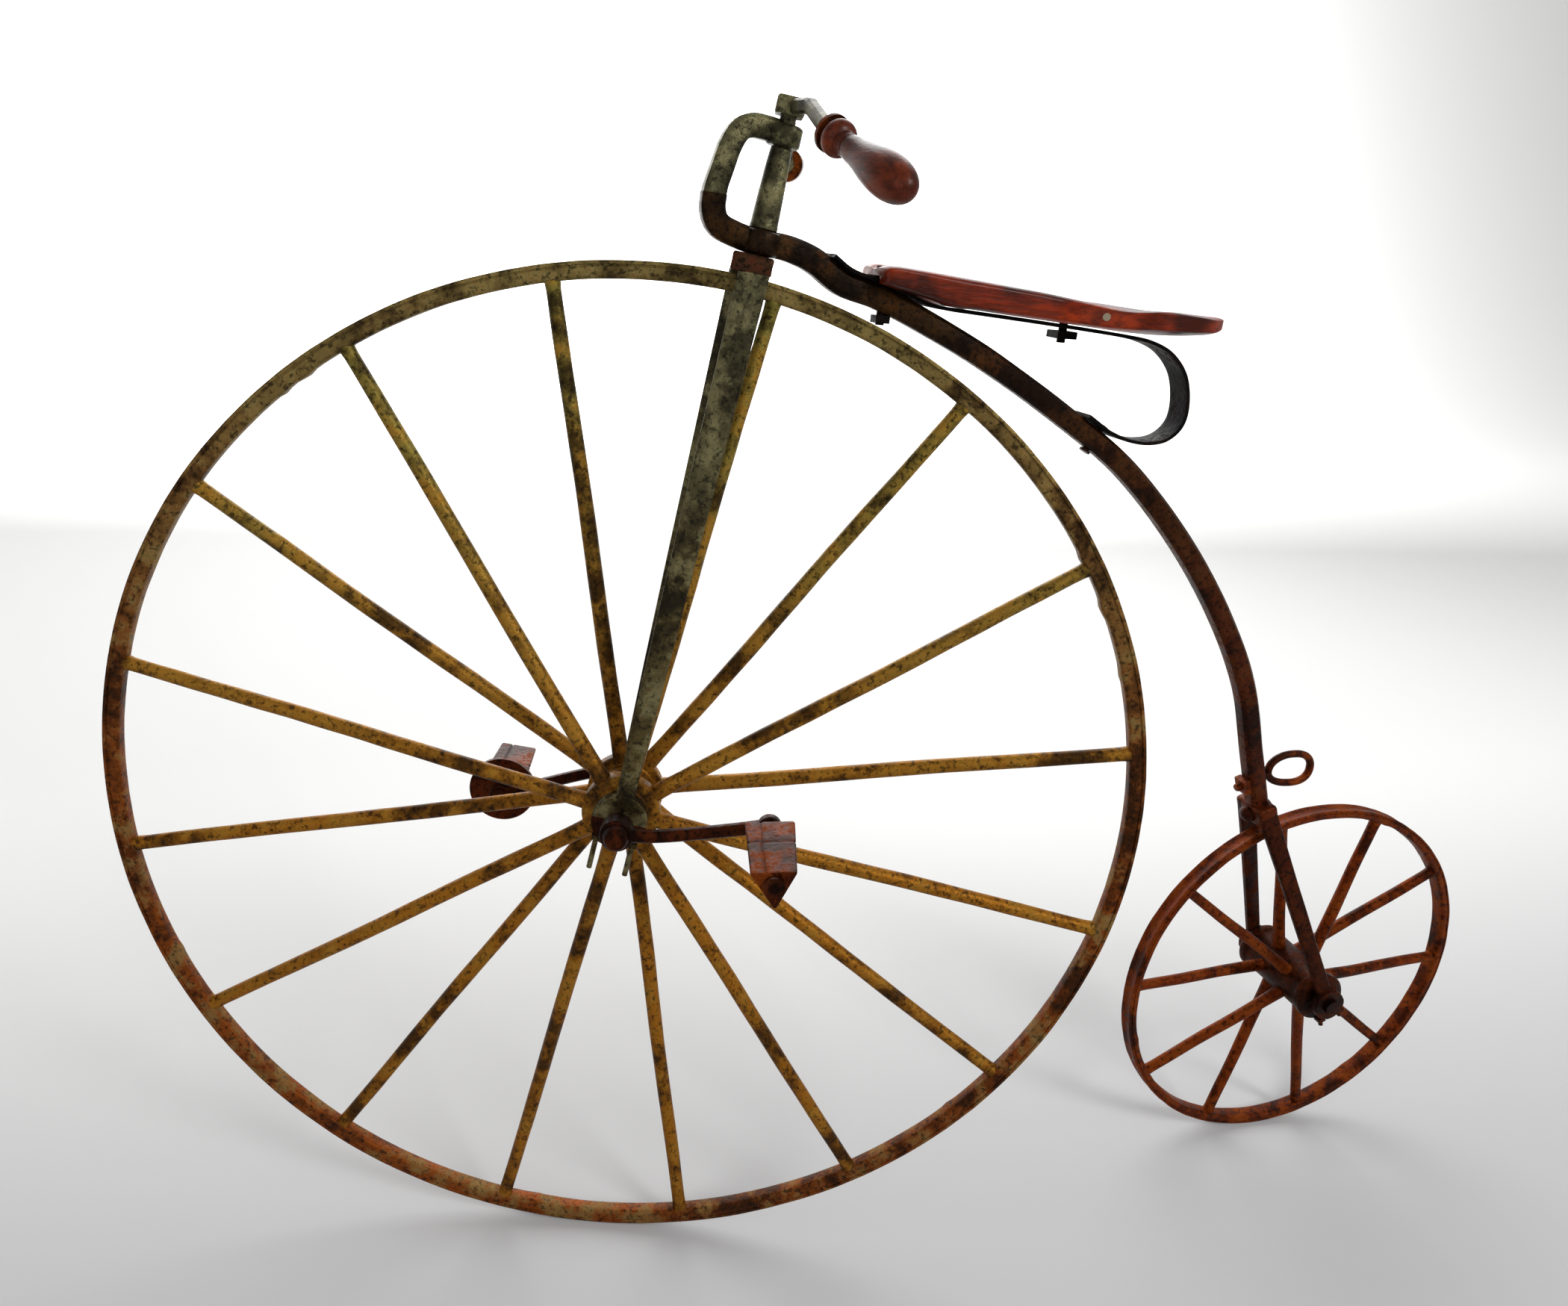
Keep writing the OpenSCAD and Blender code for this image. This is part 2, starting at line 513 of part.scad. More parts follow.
// The line of a nail driven into the seat's flank, pointing inwards; side is -1 on the left
module seat_nail_line(side) translate([356, side * (seat_half(352) + seat_half(360)) / 2, 436])
    rotate([0, 0, side * atan((seat_half(360) - seat_half(352)) / 8)]) rotate([side * 90, 0, 0]) children();
module seat_nails() color("#b9b2a0") placed() for (y = [-1, 1]) seat_nail_line(y) {
    cylinder(r = 1.2, h = 14, $fn = 24);
    translate([0, 0, -1.5]) cylinder(r = 3, h = 1.5);
}
module front_bolt() color("#3b332a") placed() translate([182, 0, 0]) {
    translate([0, 0, 415]) cylinder(r = 3.5, h = 44);
    translate([0, 0, 457.4]) cylinder(r = 7.4, h = 2.6);
}
module front_bolt_nut() color("#2c2820") placed() translate([182, 0, 416.6]) square_nut(12, 6, 3.5);
module seat_spring() color("#352c28") placed() difference() {
    upright(spring_w) polygon(band(smooth(spring_path, 5), spring_t / 2));
    translate([182, 0, 430]) cylinder(r = 3.5, h = 40);
    translate([345, 0, 400]) cylinder(r = 3.8, h = 40);
    spring_rivet_line() translate([0, 0, -30]) cylinder(r = 3, h = 60);
    spring_rivet_line() translate([0, 0, 13]) cylinder(r = 5.4, h = 10);
}
// Square across the backbone where the spring's tail sits
module spring_rivet_line() translate([392, 0, 330.5]) rotate([0, 31, 0]) children();
module spring_rivet() color("#3a2a20") placed() spring_rivet_line() {
    translate([0, 0, -11.5]) cylinder(r = 3, h = 26);
    translate([0, 0, 13]) cylinder(r = 5, h = 2.4);
    translate([0, 0, -11.5]) cylinder(r = 5, h = 2);
}

front_rim();
front_spokes();
front_hub();
front_axle();
crank_left();
crank_right();
pedal_pin_left();
pedal_pin_right();
pedal_block_left();
pedal_block_right();
pedal_nut_left();
pedal_nut_right();
pedal_flange_right();
fork_blade_left();
fork_blade_right();
front_bearing_caps();
front_cap_bolts();
fork_crown();
steering_spindle();
handlebar();
grip_washers();
grip_left();
grip_right();
backbone();
head_loop();
rear_fork_left();
rear_fork_right();
yoke_rivet();
rear_bearing_caps();
rear_cap_bolts();
eyebolt();
eyebolt_nut();
rear_rim();
rear_spokes();
rear_hub();
rear_axle();
seat();
seat_bolt();
seat_nut();
seat_nails();
front_bolt();
front_bolt_nut();
seat_spring();
spring_rivet();
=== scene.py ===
"""A high-wheel bicycle in worn wrought iron, with a wooden seat and grips, on a pale studio floor.

The bodies come from the frame. The pieces made here are worked out in millimetres from the front
axle, with the front wheel straight ahead, and then go to the frame's place and scale.
"""

import math

import bmesh
import bpy
import numpy as np
from mathutils import Matrix


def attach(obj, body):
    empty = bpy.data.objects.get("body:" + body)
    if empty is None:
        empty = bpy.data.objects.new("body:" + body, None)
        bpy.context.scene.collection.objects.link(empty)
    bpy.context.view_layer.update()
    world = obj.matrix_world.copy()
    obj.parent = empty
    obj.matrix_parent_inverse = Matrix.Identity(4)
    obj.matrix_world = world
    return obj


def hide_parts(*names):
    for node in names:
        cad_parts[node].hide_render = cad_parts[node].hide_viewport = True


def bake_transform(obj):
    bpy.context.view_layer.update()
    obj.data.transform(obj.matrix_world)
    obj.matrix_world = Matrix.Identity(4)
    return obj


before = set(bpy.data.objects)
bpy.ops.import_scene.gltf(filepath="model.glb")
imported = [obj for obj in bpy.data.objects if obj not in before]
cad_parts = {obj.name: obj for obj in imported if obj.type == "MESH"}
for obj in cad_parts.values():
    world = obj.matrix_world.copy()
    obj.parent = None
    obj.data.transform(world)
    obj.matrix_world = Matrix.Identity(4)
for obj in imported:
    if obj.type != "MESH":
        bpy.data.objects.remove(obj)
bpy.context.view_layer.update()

# ---------- sizes, in millimetres ----------

MM = 0.001
MID_X, MID_Y, AXLE_Z = 264.2, 1.4, 450.0
RAKE = math.radians(8.28)
STEER = math.radians(-14.9)
TRAIL = 9.0
AXIS = np.array([math.sin(RAKE), 0.0, math.cos(RAKE)])

FRONT_R, FRONT_RIM_W, FRONT_RIM_T = 450.0, 13.5, 14.0
REAR_R, REAR_RIM_W, REAR_RIM_T = 202.9, 16.4, 9.6
REAR_AXLE = np.array([761.7, 0.0, REAR_R - FRONT_R])
FRONT_SPOKES, FRONT_PHASE, FRONT_SPOKE_D = 16, 100.4, 14.0
FRONT_SPOKE_ROOT, FRONT_FLANGE_Y = 27.0, 21.0
REAR_SPOKES, REAR_PHASE, REAR_SPOKE_D = 10, 72.4, 12.4
REAR_SPOKE_ROOT, REAR_FLANGE_Y = 22.0, 14.6
BORE_R, BEARING_R, REAR_BEARING_R = 8.1, 23.5, 17
BEARING_Y, BLADE_TOP_Y = 38.0, 18.5
LEFT_BLADE_BACK, BLADE_AHEAD = 7.0, 6.5
CRANK_LEN, CRANK_Y = 125.0, 62.0
LEFT_CRANK, RIGHT_CRANK = 8.0, 197.0
PEDAL_Y, PEDAL_LEN, PEDAL_SIDE = 80.0, 78.0, 43.0
LEFT_ROLL, RIGHT_ROLL = -7, 6  # degrees that each pedal hangs off level
REAR_BEARING_Y, YOKE_Y = 57.0, 15.5
YOKE = np.array([664.0, 0.0, -42.0])
YOKE_TILT = 22  # degrees from upright
EYE_X, EYE_Z = 690, 4
SEAT_FRONT, SEAT_TAIL = 172, 478
FRONT_BOLT_X, SEAT_BOLT_X = 182, 345
# Along the steering axis
CROWN_AT, CROWN_THICK = 450.5, 13.8
COLLAR_AT, SPINDLE_AT, BOSS_AT, LUG_AT = 474.1, 484.3, 551.0, 571.4

# Centre lines in the middle plane, as (x, z)
BACKBONE = [(38.3, 501.4), (38.1, 490), (43, 480), (56, 474), (76, 469.3), (98, 467), (121, 459.5),
            (146, 444.5), (178, 436), (216, 421.5), (280, 393), (360, 350), (430, 306), (500, 243),
            (560, 173.5), (608, 100), (640, 20), (664, -42)]
LOOP = [(38.1, 500.2), (39.2, 507), (43, 520), (47.6, 535), (54, 546), (63, 550.2), (74, 549.4), (84, 547.6)]
SPRING = [(134, 464.7), (140, 460.7), (146, 456.9), (152, 454.2), (160, 451.9), (178, 447.5), (190, 443.6),
          (205, 438.2), (218, 434), (236, 431.4), (256, 430.1), (300, 427.4), (345, 424.4), (400, 420.2),
          (425, 416.6), (446, 408), (463, 391), (471, 368), (470, 349), (458, 336), (440, 331.8),
          (420, 333.6), (404, 338.6), (396, 342.2), (388, 346.9), (378, 352.7)]
# Each handlebar arm's bend and end, and the way its grip points
LEFT_BEND, LEFT_END, LEFT_AIM = (104, -30, 563), (115, -77, 541.5), (47, -85, -42)
RIGHT_BEND, RIGHT_END, RIGHT_AIM = (91, 32, 562), (95, 76, 533.5), (5, 98, 9.8)

rng = np.random.default_rng(7)


# ---------- from the maker's millimetres to the frame ----------

def about(points, angle, axis):
    """Points turned about a line through the origin, by Rodrigues' formula."""
    p = np.asarray(points, float)
    c, s = math.cos(angle), math.sin(angle)
    return p * c + np.cross(axis, p) * s + np.outer(p.reshape(-1, 3) @ axis, axis).reshape(p.shape) * (1 - c)


def to_frame(points, turned):
    """Lifts points onto the ground, in metres. Pieces on the fork first turn with it."""
    p = np.asarray(points, float)
    if turned:
        foot = np.array([TRAIL, 0.0, 0.0])
        p = about(p - foot, STEER, AXIS) + foot
    return (p + np.array([-MID_X, -MID_Y, AXLE_Z])) * MM


# ---------- surfaces ----------

def waves(u, v, count=7, fine=1.0):
    """Smooth unevenness from -1 to 1: a few sine waves of u and v with chance lengths and phases."""
    total = np.zeros(np.broadcast(u, v).shape)
    for _ in range(count):
        a, b = rng.uniform(-1, 1, 2) * fine
        total += np.sin(a * u + b * v + rng.uniform(0, 2 * math.pi))
    return total / count * 1.6


def curve(points, step=4.0):
    """The smooth (Catmull-Rom) curve through points, cut at about equal steps of its length."""
    p = np.asarray(points, float)
    q = np.vstack([2 * p[0] - p[1], p, 2 * p[-1] - p[-2]])
    t = np.linspace(0, 1, 24, endpoint=False)[:, None]
    spans = []
    for a, b, c, d in zip(q[:-3], q[1:-2], q[2:-1], q[3:]):
        squares = (2 * a - 5 * b + 4 * c - d) * t ** 2
        cubes = (3 * b - a - 3 * c + d) * t ** 3
        spans.append(0.5 * (2 * b + (c - a) * t + squares + cubes))
    dense = np.vstack(spans + [p[-1:]])
    length = np.concatenate([[0], np.cumsum(np.linalg.norm(np.diff(dense, axis=0), axis=1))])
    n = max(int(length[-1] / step), 2) + 1
    even = np.linspace(0, length[-1], n)
    return np.stack([np.interp(even, length, dense[:, i]) for i in range(p.shape[1])], axis=1)


def rounded(corners, radius, arc=4, edge=2):
    """A polygon with arcs for corners: each arc is tangent to both sides, and sides get extra points."""
    c = np.asarray(corners, float)
    radius = np.broadcast_to(np.asarray(radius, float), (len(c),))
    loop = []
    for i, here in enumerate(c):
        back, ahead = c[i - 1] - here, c[(i + 1) % len(c)] - here
        back, ahead = back / np.linalg.norm(back), ahead / np.linalg.norm(ahead)
        half = math.acos(np.clip(back @ ahead, -1, 1)) / 2
        middle = (back + ahead) / np.linalg.norm(back + ahead)
        centre = here + middle * radius[i] / math.sin(half)
        start = here + back * radius[i] / math.tan(half) - centre
        end = here + ahead * radius[i] / math.tan(half) - centre
        t = np.linspace(0, 1, arc)[:, None]
        blend = start * (1 - t) + end * t
        loop.append(centre + blend / np.linalg.norm(blend, axis=1)[:, None] * radius[i])
    full = []
    for i, part in enumerate(loop):
        full.append(part)
        after = loop[(i + 1) % len(loop)][0]
        t = np.linspace(0, 1, edge + 2)[1:-1, None]
        full.append(part[-1] * (1 - t) + after * t)
    return np.vstack(full)


def bar_section(width, height, bevel=3.0, radius=0.8):
    """An octagon: a bar of that width across the machine and that height, with bevelled edges."""
    w, h = width / 2, height / 2
    return rounded([(-w, -h + bevel), (-w + bevel, -h), (w - bevel, -h), (w, -h + bevel),
                    (w, h - bevel), (w - bevel, h), (-w + bevel, h), (-w, h - bevel)], radius, 3, 1)


def carried(path, section, scale=1.0, side=(0, 1, 0), uneven=0.0, fine=0.35):
    """A section carried along a path: section x goes along the side direction and section y along the
    path's normal. scale may change along the path, and uneven moves the skin in and out by that share."""
    p = np.asarray(path, float)
    d = np.gradient(p, axis=0)
    d /= np.linalg.norm(d, axis=1)[:, None]
    side = np.asarray(side, float)
    across = side - (d @ side)[:, None] * d
    across /= np.linalg.norm(across, axis=1)[:, None]
    normal = np.cross(across, d)
    scale = np.asarray(scale, float)
    if scale.ndim < 2:
        scale = np.broadcast_to(scale, (len(p),))[:, None] * np.ones(2)
    length = np.concatenate([[0], np.cumsum(np.linalg.norm(np.diff(p, axis=0), axis=1))])
    ring = np.arange(len(section))
    skin = 1 + uneven * waves(length[:, None] * fine, ring[None, :] * 2 * math.pi / len(section) * 3)
    x = section[None, :, 0] * scale[:, :1] * skin
    y = section[None, :, 1] * scale[:, 1:] * skin
    return p[:, None, :] + x[..., None] * across[:, None, :] + y[..., None] * normal[:, None, :]


def circle(radius, n=20):
    a = np.arange(n) * 2 * math.pi / n
    return np.stack([radius * np.cos(a), radius * np.sin(a)], axis=1)


def turned_round(profile, n=64, uneven=0.0, soft=3):
    """A profile of (radius, height) spun about Z: the point is (r cos a, r sin a, h)."""
    p = np.asarray(profile, float)
    if soft:
        t = np.linspace(0, len(p) - 1, (len(p) - 1) * soft + 1)
        p = np.stack([np.interp(t, np.arange(len(p)), p[:, i]) for i in range(2)], axis=1)
    a = np.arange(n) * 2 * math.pi / n
    r = p[:, :1] * (1 + uneven * waves(p[:, 1:] * 0.25, a[None, :] * 3))
    return np.stack([r * np.cos(a), r * np.sin(a), np.repeat(p[:, 1:], n, axis=1)], axis=2)


def laid(grid, turn=None, shift=(0, 0, 0)):
    """A grid turned by a 3x3 matrix and then shifted."""
    g = grid if turn is None else grid @ np.asarray(turn, float).T
    return g + np.asarray(shift, float)


def axes(z, x=(1, 0, 0)):
    """The matrix whose Z goes along z, with its X as near as it can be to x."""
    z = np.asarray(z, float) / np.linalg.norm(z)
    x = np.asarray(x, float) - (z @ np.asarray(x, float)) * z
    x /= np.linalg.norm(x)
    return np.stack([x, np.cross(z, x), z], axis=1)


ALONG_Y = axes((0, 1, 0))
ON_AXIS = axes(AXIS)


def on_axis(grid, height=0.0):
    """A grid whose Z runs up the steering axis, moved up it by height."""
    return laid(grid, ON_AXIS, np.array([TRAIL, 0, 0]) + AXIS * height)


def mirrored(grid):
    """The same surface on the other side of the machine, with its faces still looking outwards."""
    return (grid * np.array([1, -1, 1]))[:, ::-1]


def tilted(grid, degrees, centre=(0, 0, 0)):
    """A grid turned up about the axle's direction, as a crank is."""
    c = np.asarray(centre, float)
    return about(grid - c, -math.radians(degrees), np.array([0.0, 1.0, 0.0])) + c


def dome(radius, height, n=20, rings=6):
    """A cap: radius r cos t and height h sin t, for t from 0 to a right angle."""
    t = np.linspace(0, math.pi / 2, rings)
    return turned_round(np.stack([radius * np.cos(t), height * np.sin(t)], axis=1), n, soft=0)


def ring_part(inner, outer, thick, start, end, n=28, bevel=1.0):
    """Part of a flat ring about Y, from one angle to another, with bevelled edges."""
    loop = rounded([(inner, -thick / 2), (outer, -thick / 2), (outer, thick / 2), (inner, thick / 2)],
                   (0.3, bevel, bevel, 0.3), 4, 2)
    a = np.radians(np.linspace(start, end, n))
    x, z = loop[None, :, 0] * np.cos(a)[:, None], loop[None, :, 0] * np.sin(a)[:, None]
    return np.stack([x, np.broadcast_to(loop[None, :, 1], x.shape), z], axis=2)


def shell(name, parts, turned=False, loops=(), sharp=40):
    """One object from several grids. Each grid's rows are closed rings. Its ends are capped, unless
    its number is in loops, and then the last row joins the first."""
    points, faces, start = [], [], 0
    for number, grid in enumerate(parts):
        rows, cols = grid.shape[:2]
        around = number in loops
        i, j = np.meshgrid(np.arange(rows if around else rows - 1), np.arange(cols), indexing="ij")
        i2, j2 = (i + 1) % rows, (j + 1) % cols
        quads = np.stack([i * cols + j, i * cols + j2, i2 * cols + j2, i2 * cols + j], axis=-1).reshape(-1, 4)
        faces += (quads + start).tolist()
        points.append(grid.reshape(-1, 3))
        if not around:
            faces.append((start + np.arange(cols)[::-1]).tolist())
            faces.append((start + (rows - 1) * cols + np.arange(cols)).tolist())
        start += rows * cols
    mesh = bpy.data.meshes.new(name)
    mesh.from_pydata(to_frame(np.vstack(points), turned).tolist(), [], faces)
    mesh.validate()
    clean(mesh)
    mesh.update()
    mesh.shade_smooth()
    mesh.set_sharp_from_angle(angle=math.radians(sharp))
    obj = bpy.data.objects.new(name, mesh)
    bpy.context.collection.objects.link(obj)
    return obj


def clean(mesh):
    """Joins points that fall together, as at a dome's tip, and makes every shell look outwards."""
    work = bmesh.new()
    work.from_mesh(mesh)
    bmesh.ops.remove_doubles(work, verts=work.verts, dist=0.00001)
    bmesh.ops.dissolve_degenerate(work, edges=work.edges, dist=0.00001)
    bmesh.ops.recalc_face_normals(work, faces=work.faces)
    work.to_mesh(mesh)
    work.free()


# ---------- finishes ----------

def colour(red, green, blue):
    """A colour of 0 to 255 a channel, as the shader wants it."""
    return tuple((c / 255 / 12.92 if c / 255 <= 0.04045 else ((c / 255 + 0.055) / 1.055) ** 2.4)
                 for c in (red, green, blue)) + (1.0,)


class Shade:
    """A number in a finish's node tree that takes part in ordinary sums."""

    def __init__(self, finish, socket):
        self.finish, self.socket = finish, socket

    def sum(self, operation, *values):
        made = self.finish.node("ShaderNodeMath", {"operation": operation}, *values)
        return Shade(self.finish, made.outputs[0])

    def __add__(self, other):
        return self.sum("ADD", self, other)

    def __radd__(self, other):
        return self.sum("ADD", other, self)

    def __sub__(self, other):
        return self.sum("SUBTRACT", self, other)

    def __rsub__(self, other):
        return self.sum("SUBTRACT", other, self)

    def __mul__(self, other):
        return self.sum("MULTIPLY", self, other)

    def __rmul__(self, other):
        return self.sum("MULTIPLY", other, self)

    def ramp(self, low, high):
        """0 below low, 1 above high and smooth between them; low may be the larger."""
        made = self.finish.node("ShaderNodeMapRange", {"interpolation_type": "SMOOTHSTEP"},
                                self, low, high, 0.0, 1.0)
        return Shade(self.finish, made.outputs[0])


class Finish:
    """A material under construction, with one method for any node and a few for common ones."""

    def __init__(self, name):
        self.material = bpy.data.materials.new(name)
        self.material.use_nodes = True
        self.tree = self.material.node_tree
        self.shader = self.tree.nodes["Principled BSDF"]
        self.place = self.node("ShaderNodeTexCoord").outputs["Object"]
        split = self.node("ShaderNodeSeparateXYZ", None, self.place)
        self.x, self.y, self.z = (Shade(self, s) for s in split.outputs)

    def feed(self, socket, value):
        """Links or sets a node's input."""
        if isinstance(value, Shade):
            value = value.socket
        if isinstance(value, bpy.types.NodeSocket):
            self.tree.links.new(value, socket)
        else:
            socket.default_value = value

    def node(self, kind, settings=None, *values, **named):
        """Any node, with its settings, its first inputs in order and other inputs by name."""
        made = self.tree.nodes.new(kind)
        for key, value in (settings or {}).items():
            setattr(made, key, value)
        for socket, value in zip(made.inputs, values):
            self.feed(socket, value)
        for key, value in named.items():
            self.feed(made.inputs[key.replace("_", " ")], value)
        return made

    def noise(self, scale, detail=3.0, roughness=0.55, stretch=None):
        """Cloudy noise of about 0.5, over metres, optionally squeezed along some directions."""
        where = self.place
        if stretch:
            where = self.node("ShaderNodeMapping", None, Vector=where, Scale=stretch).outputs[0]
        made = self.node("ShaderNodeTexNoise", None,
                         Vector=where, Scale=scale, Detail=detail, Roughness=roughness)
        return Shade(self, made.outputs["Fac"])

    def mix(self, share, first, second):
        """One colour over another, by a share from 0 to 1."""
        made = self.node("ShaderNodeMix", {"data_type": "RGBA"})
        for socket, value in zip((made.inputs[0], made.inputs[6], made.inputs[7]), (share, first, second)):
            self.feed(socket, value)
        return made.outputs[2]

    def set(self, **named):
        """Sets or links inputs of the main shader by name."""
        for key, value in named.items():
            self.feed(self.shader.inputs[key.replace("_", " ")], value)

    def relief(self, height, depth):
        """Raises the surface by height, a share of depth in metres."""
        made = self.node("ShaderNodeBump", None, Strength=1.0, Distance=depth, Height=height)
        self.set(Normal=made.outputs[0])


def iron(name, dark, high_tone, low_tone, light, rust, rust_share=0.5, shine=0.42, wear=0.5):
    """Old forged iron: a tone that goes from high_tone up at the seat to low_tone near the ground,
    clouded with dark and light, spotted with rust, and pitted all over."""
    f = Finish(name)
    broad = f.noise(9, 4, 0.6)
    cloud = f.noise(38, 5, 0.65)
    grain = f.noise(210, 4, 0.7)
    pits = f.noise(620, 2, 0.6)
    height = (f.z + (broad - 0.5) * 0.5).ramp(0.38, 0.95)
    base = f.mix(height, low_tone, high_tone)
    base = f.mix(cloud.ramp(0.47, 0.68) * wear, base, light)
    base = f.mix((broad * 0.5 + cloud * 0.5).ramp(0.53, 0.40) * 0.85, base, dark)
    spots = (cloud * 0.6 + grain * 0.4 + (0.5 - f.z) * 0.06).ramp(0.50, 0.60)
    base = f.mix(spots * rust_share, base, rust)
    base = f.mix(grain.ramp(0.52, 0.36) * 0.8, base, dark)
    f.set(Base_Color=base, Metallic=0.45, Roughness=(shine + spots * 0.25 + (grain - 0.5) * 0.45),
          Specular_IOR_Level=0.07)
    f.relief(cloud * 0.5 + grain * 0.35 + pits * 0.15, 0.0016)
    return f.material


def wood(name, deep, warm, bright, along=(1, 0, 0)):
    """Old polished hardwood: long fine grain, darker handling marks and a worn gloss."""
    f = Finish(name)
    stretch = tuple(0.12 if a else 1.0 for a in along)
    fibre = f.noise(170, 5, 0.7, stretch)
    bands = f.noise(34, 3, 0.55, stretch)
    smudge = f.noise(16, 4, 0.6)
    base = f.mix(bands.ramp(0.35, 0.68), warm, bright)
    base = f.mix(fibre.ramp(0.56, 0.38) * 0.55, base, deep)
    base = f.mix(smudge.ramp(0.54, 0.36) * 0.85, base, deep)
    f.set(Base_Color=base, Roughness=0.32 + (smudge - 0.4) * 0.5, Specular_IOR_Level=0.14)
    f.shader.inputs["Coat Weight"].default_value = 0.07
    f.shader.inputs["Coat Roughness"].default_value = 0.14
    f.relief(fibre * 0.6 + smudge * 0.4, 0.0009)
    return f.material


DARK = colour(26, 17, 9)
olive = iron("olive iron", DARK, colour(112, 96, 54), colour(124, 62, 18), colour(162, 146, 88),
             colour(98, 46, 16), 0.45, 0.42, 0.75)
spoke_iron = iron("spoke iron", DARK, colour(122, 112, 52), colour(150, 96, 24), colour(190, 142, 52),
                  colour(94, 50, 18), 0.4, 0.44, 0.8)
grey_green = iron("grey-green iron", colour(24, 21, 16), colour(84, 80, 56), colour(80, 66, 34),
                  colour(150, 146, 104), colour(70, 36, 20), 0.4, 0.36, 0.8)
brown = iron("brown iron", colour(14, 9, 6), colour(48, 32, 15), colour(88, 34, 8), colour(88, 60, 28),
             colour(64, 28, 11), 0.5, 0.38, 0.5)
rusty = iron("rusty iron", colour(28, 11, 4), colour(98, 44, 12), colour(104, 40, 5), colour(156, 80, 24),
             colour(112, 50, 14), 0.6, 0.46, 0.6)
deep_rust = iron("deep rusty iron", colour(14, 5, 2), colour(58, 29, 12), colour(54, 20, 5),
                 colour(84, 42, 15), colour(76, 31, 9), 0.55, 0.42, 0.45)
crown_brown = iron("crown iron", colour(14, 9, 6), colour(58, 34, 20), colour(60, 30, 14), colour(82, 62, 40),
                   colour(84, 34, 22), 0.6, 0.38, 0.5)
black = iron("black iron", colour(5, 4, 3), colour(17, 13, 11), colour(15, 9, 6), colour(30, 24, 20),
             colour(42, 24, 15), 0.3, 0.58, 0.4)
seat_wood = wood("seat wood", colour(38, 11, 4), colour(116, 32, 3), colour(160, 52, 6))
grip_wood = wood("grip wood", colour(28, 9, 4), colour(76, 24, 6), colour(118, 48, 16), (0, 1, 0))

nail_finish = Finish("bare steel")
nail_finish.set(Base_Color=colour(150, 138, 116), Metallic=0.8,
                Roughness=0.35 + nail_finish.noise(900, 2) * 0.2)
bare_steel = nail_finish.material


def finish_piece(obj, material, body, nodes):
    """Paints a piece, puts it on its body and lets it stand for its CAD nodes."""
    obj.data.materials.clear()
    obj.data.materials.append(material)
    if body:
        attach(obj, body)
    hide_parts(*nodes)
    return obj


# ---------- wheels ----------

def rim_surface(radius, width, depth, band, centre, lumps):
    """A forged ring. Its section is a flat bar with a groove under a raised outer band and a hollow
    round the outside. The skin wanders in by a little with the angle, and swells at a few lumps."""
    w = width / 2
    half = [(-depth, 0), (-depth, -w + 3), (-depth + 0.5, -w + 1.2), (-depth + 1.8, -w + 0.2),
            (-depth + 3, -w), (-band - 1.3, -w), (-band - 0.7, -w + 0.9), (-band, -w + 0.9),
            (-band + 0.5, -w), (-1.0, -w), (-0.2, -w + 0.5), (0, -w + 1.4), (-0.3, -w + 3.0),
            (-1.2, -w * 0.3), (-1.3, 0)]
    loop = np.array(half + [(r, -y) for r, y in half[-2:0:-1]], float)
    a = np.linspace(0, 2 * math.pi, 420, endpoint=False)
    inwards = np.clip(-loop[:, 0] / depth, 0, 1)
    wander = 0.35 * (np.sin(5 * a + 1) + np.sin(9 * a + 2.2) + np.sin(23 * a)) / 3 - 0.35
    bulge = sum(size * np.exp(-(np.angle(np.exp(1j * (a - math.radians(at)))) / math.radians(spread)) ** 2)
                for at, size, spread in lumps)
    skin = 0.28 * waves(a[:, None] * 60, np.arange(len(loop))[None, :] * 0.9, 9)
    r = radius + loop[None, :, 0] + wander[:, None] - np.abs(skin) - bulge[:, None] * inwards[None, :]
    y = loop[None, :, 1] * (1 - 0.012 * (1 + np.sin(31 * a + 0.7)))[:, None]
    grid = np.stack([r * np.cos(a)[:, None], y, r * np.sin(a)[:, None]], axis=2)
    return laid(grid, None, centre)


def spoke_surfaces(count, phase, first_side, root_r, root_y, tip_r, width, centre):
    """Round spokes that taper outwards, lean in from the two flanges in turn, and end in a small foot.
    The radius along the spoke is d/2 (1 - 0.14 s), plus a small swelling at each end."""
    made = []
    for k in range(count):
        a = math.radians(phase + k * 360 / count)
        y = root_y * first_side * (1 if k % 2 == 0 else -1)
        start = np.array([root_r * math.cos(a), y, root_r * math.sin(a)])
        end = np.array([tip_r * math.cos(a), 0, tip_r * math.sin(a)])
        s = np.linspace(0, 1, 60)[:, None]
        sway = 0.7 * np.sin(s * math.pi * rng.uniform(1.5, 2.6)) * np.sin(s * math.pi)
        across = np.array([-math.sin(a), 0, math.cos(a)])
        path = start * (1 - s) + end * s + sway * across * rng.choice([-1, 1])
        run = np.linalg.norm(end - start)
        near_rim, near_hub = (1 - s[:, 0]) * run, s[:, 0] * run
        foot, root = 0.10 * np.exp(-(near_rim / 5) ** 2), 0.10 * np.exp(-(near_hub / 14) ** 2)
        scale = (1 - 0.14 * s[:, 0]) + foot + root
        made.append(carried(path, circle(width / 2, 20), scale, (0, 1, 0), 0.03, 0.12))
    return [laid(g, None, centre) for g in made]


AXLE = (0.0, 0.0, 0.0)
# The forge welds' lumps on each rim: the angle, the height and the spread in degrees
FRONT_LUMPS = [(128, 1.8, 0.8), (131, 1.2, 0.6), (34, 1.6, 0.7), (28, 2.0, 0.9), (20, 1.2, 0.5),
               (205, 1.0, 0.6), (318, 1.2, 0.6), (262, 1.0, 0.5)]
REAR_LUMPS = [(70, 0.8, 2), (200, 1.0, 2), (310, 0.9, 1.5)]

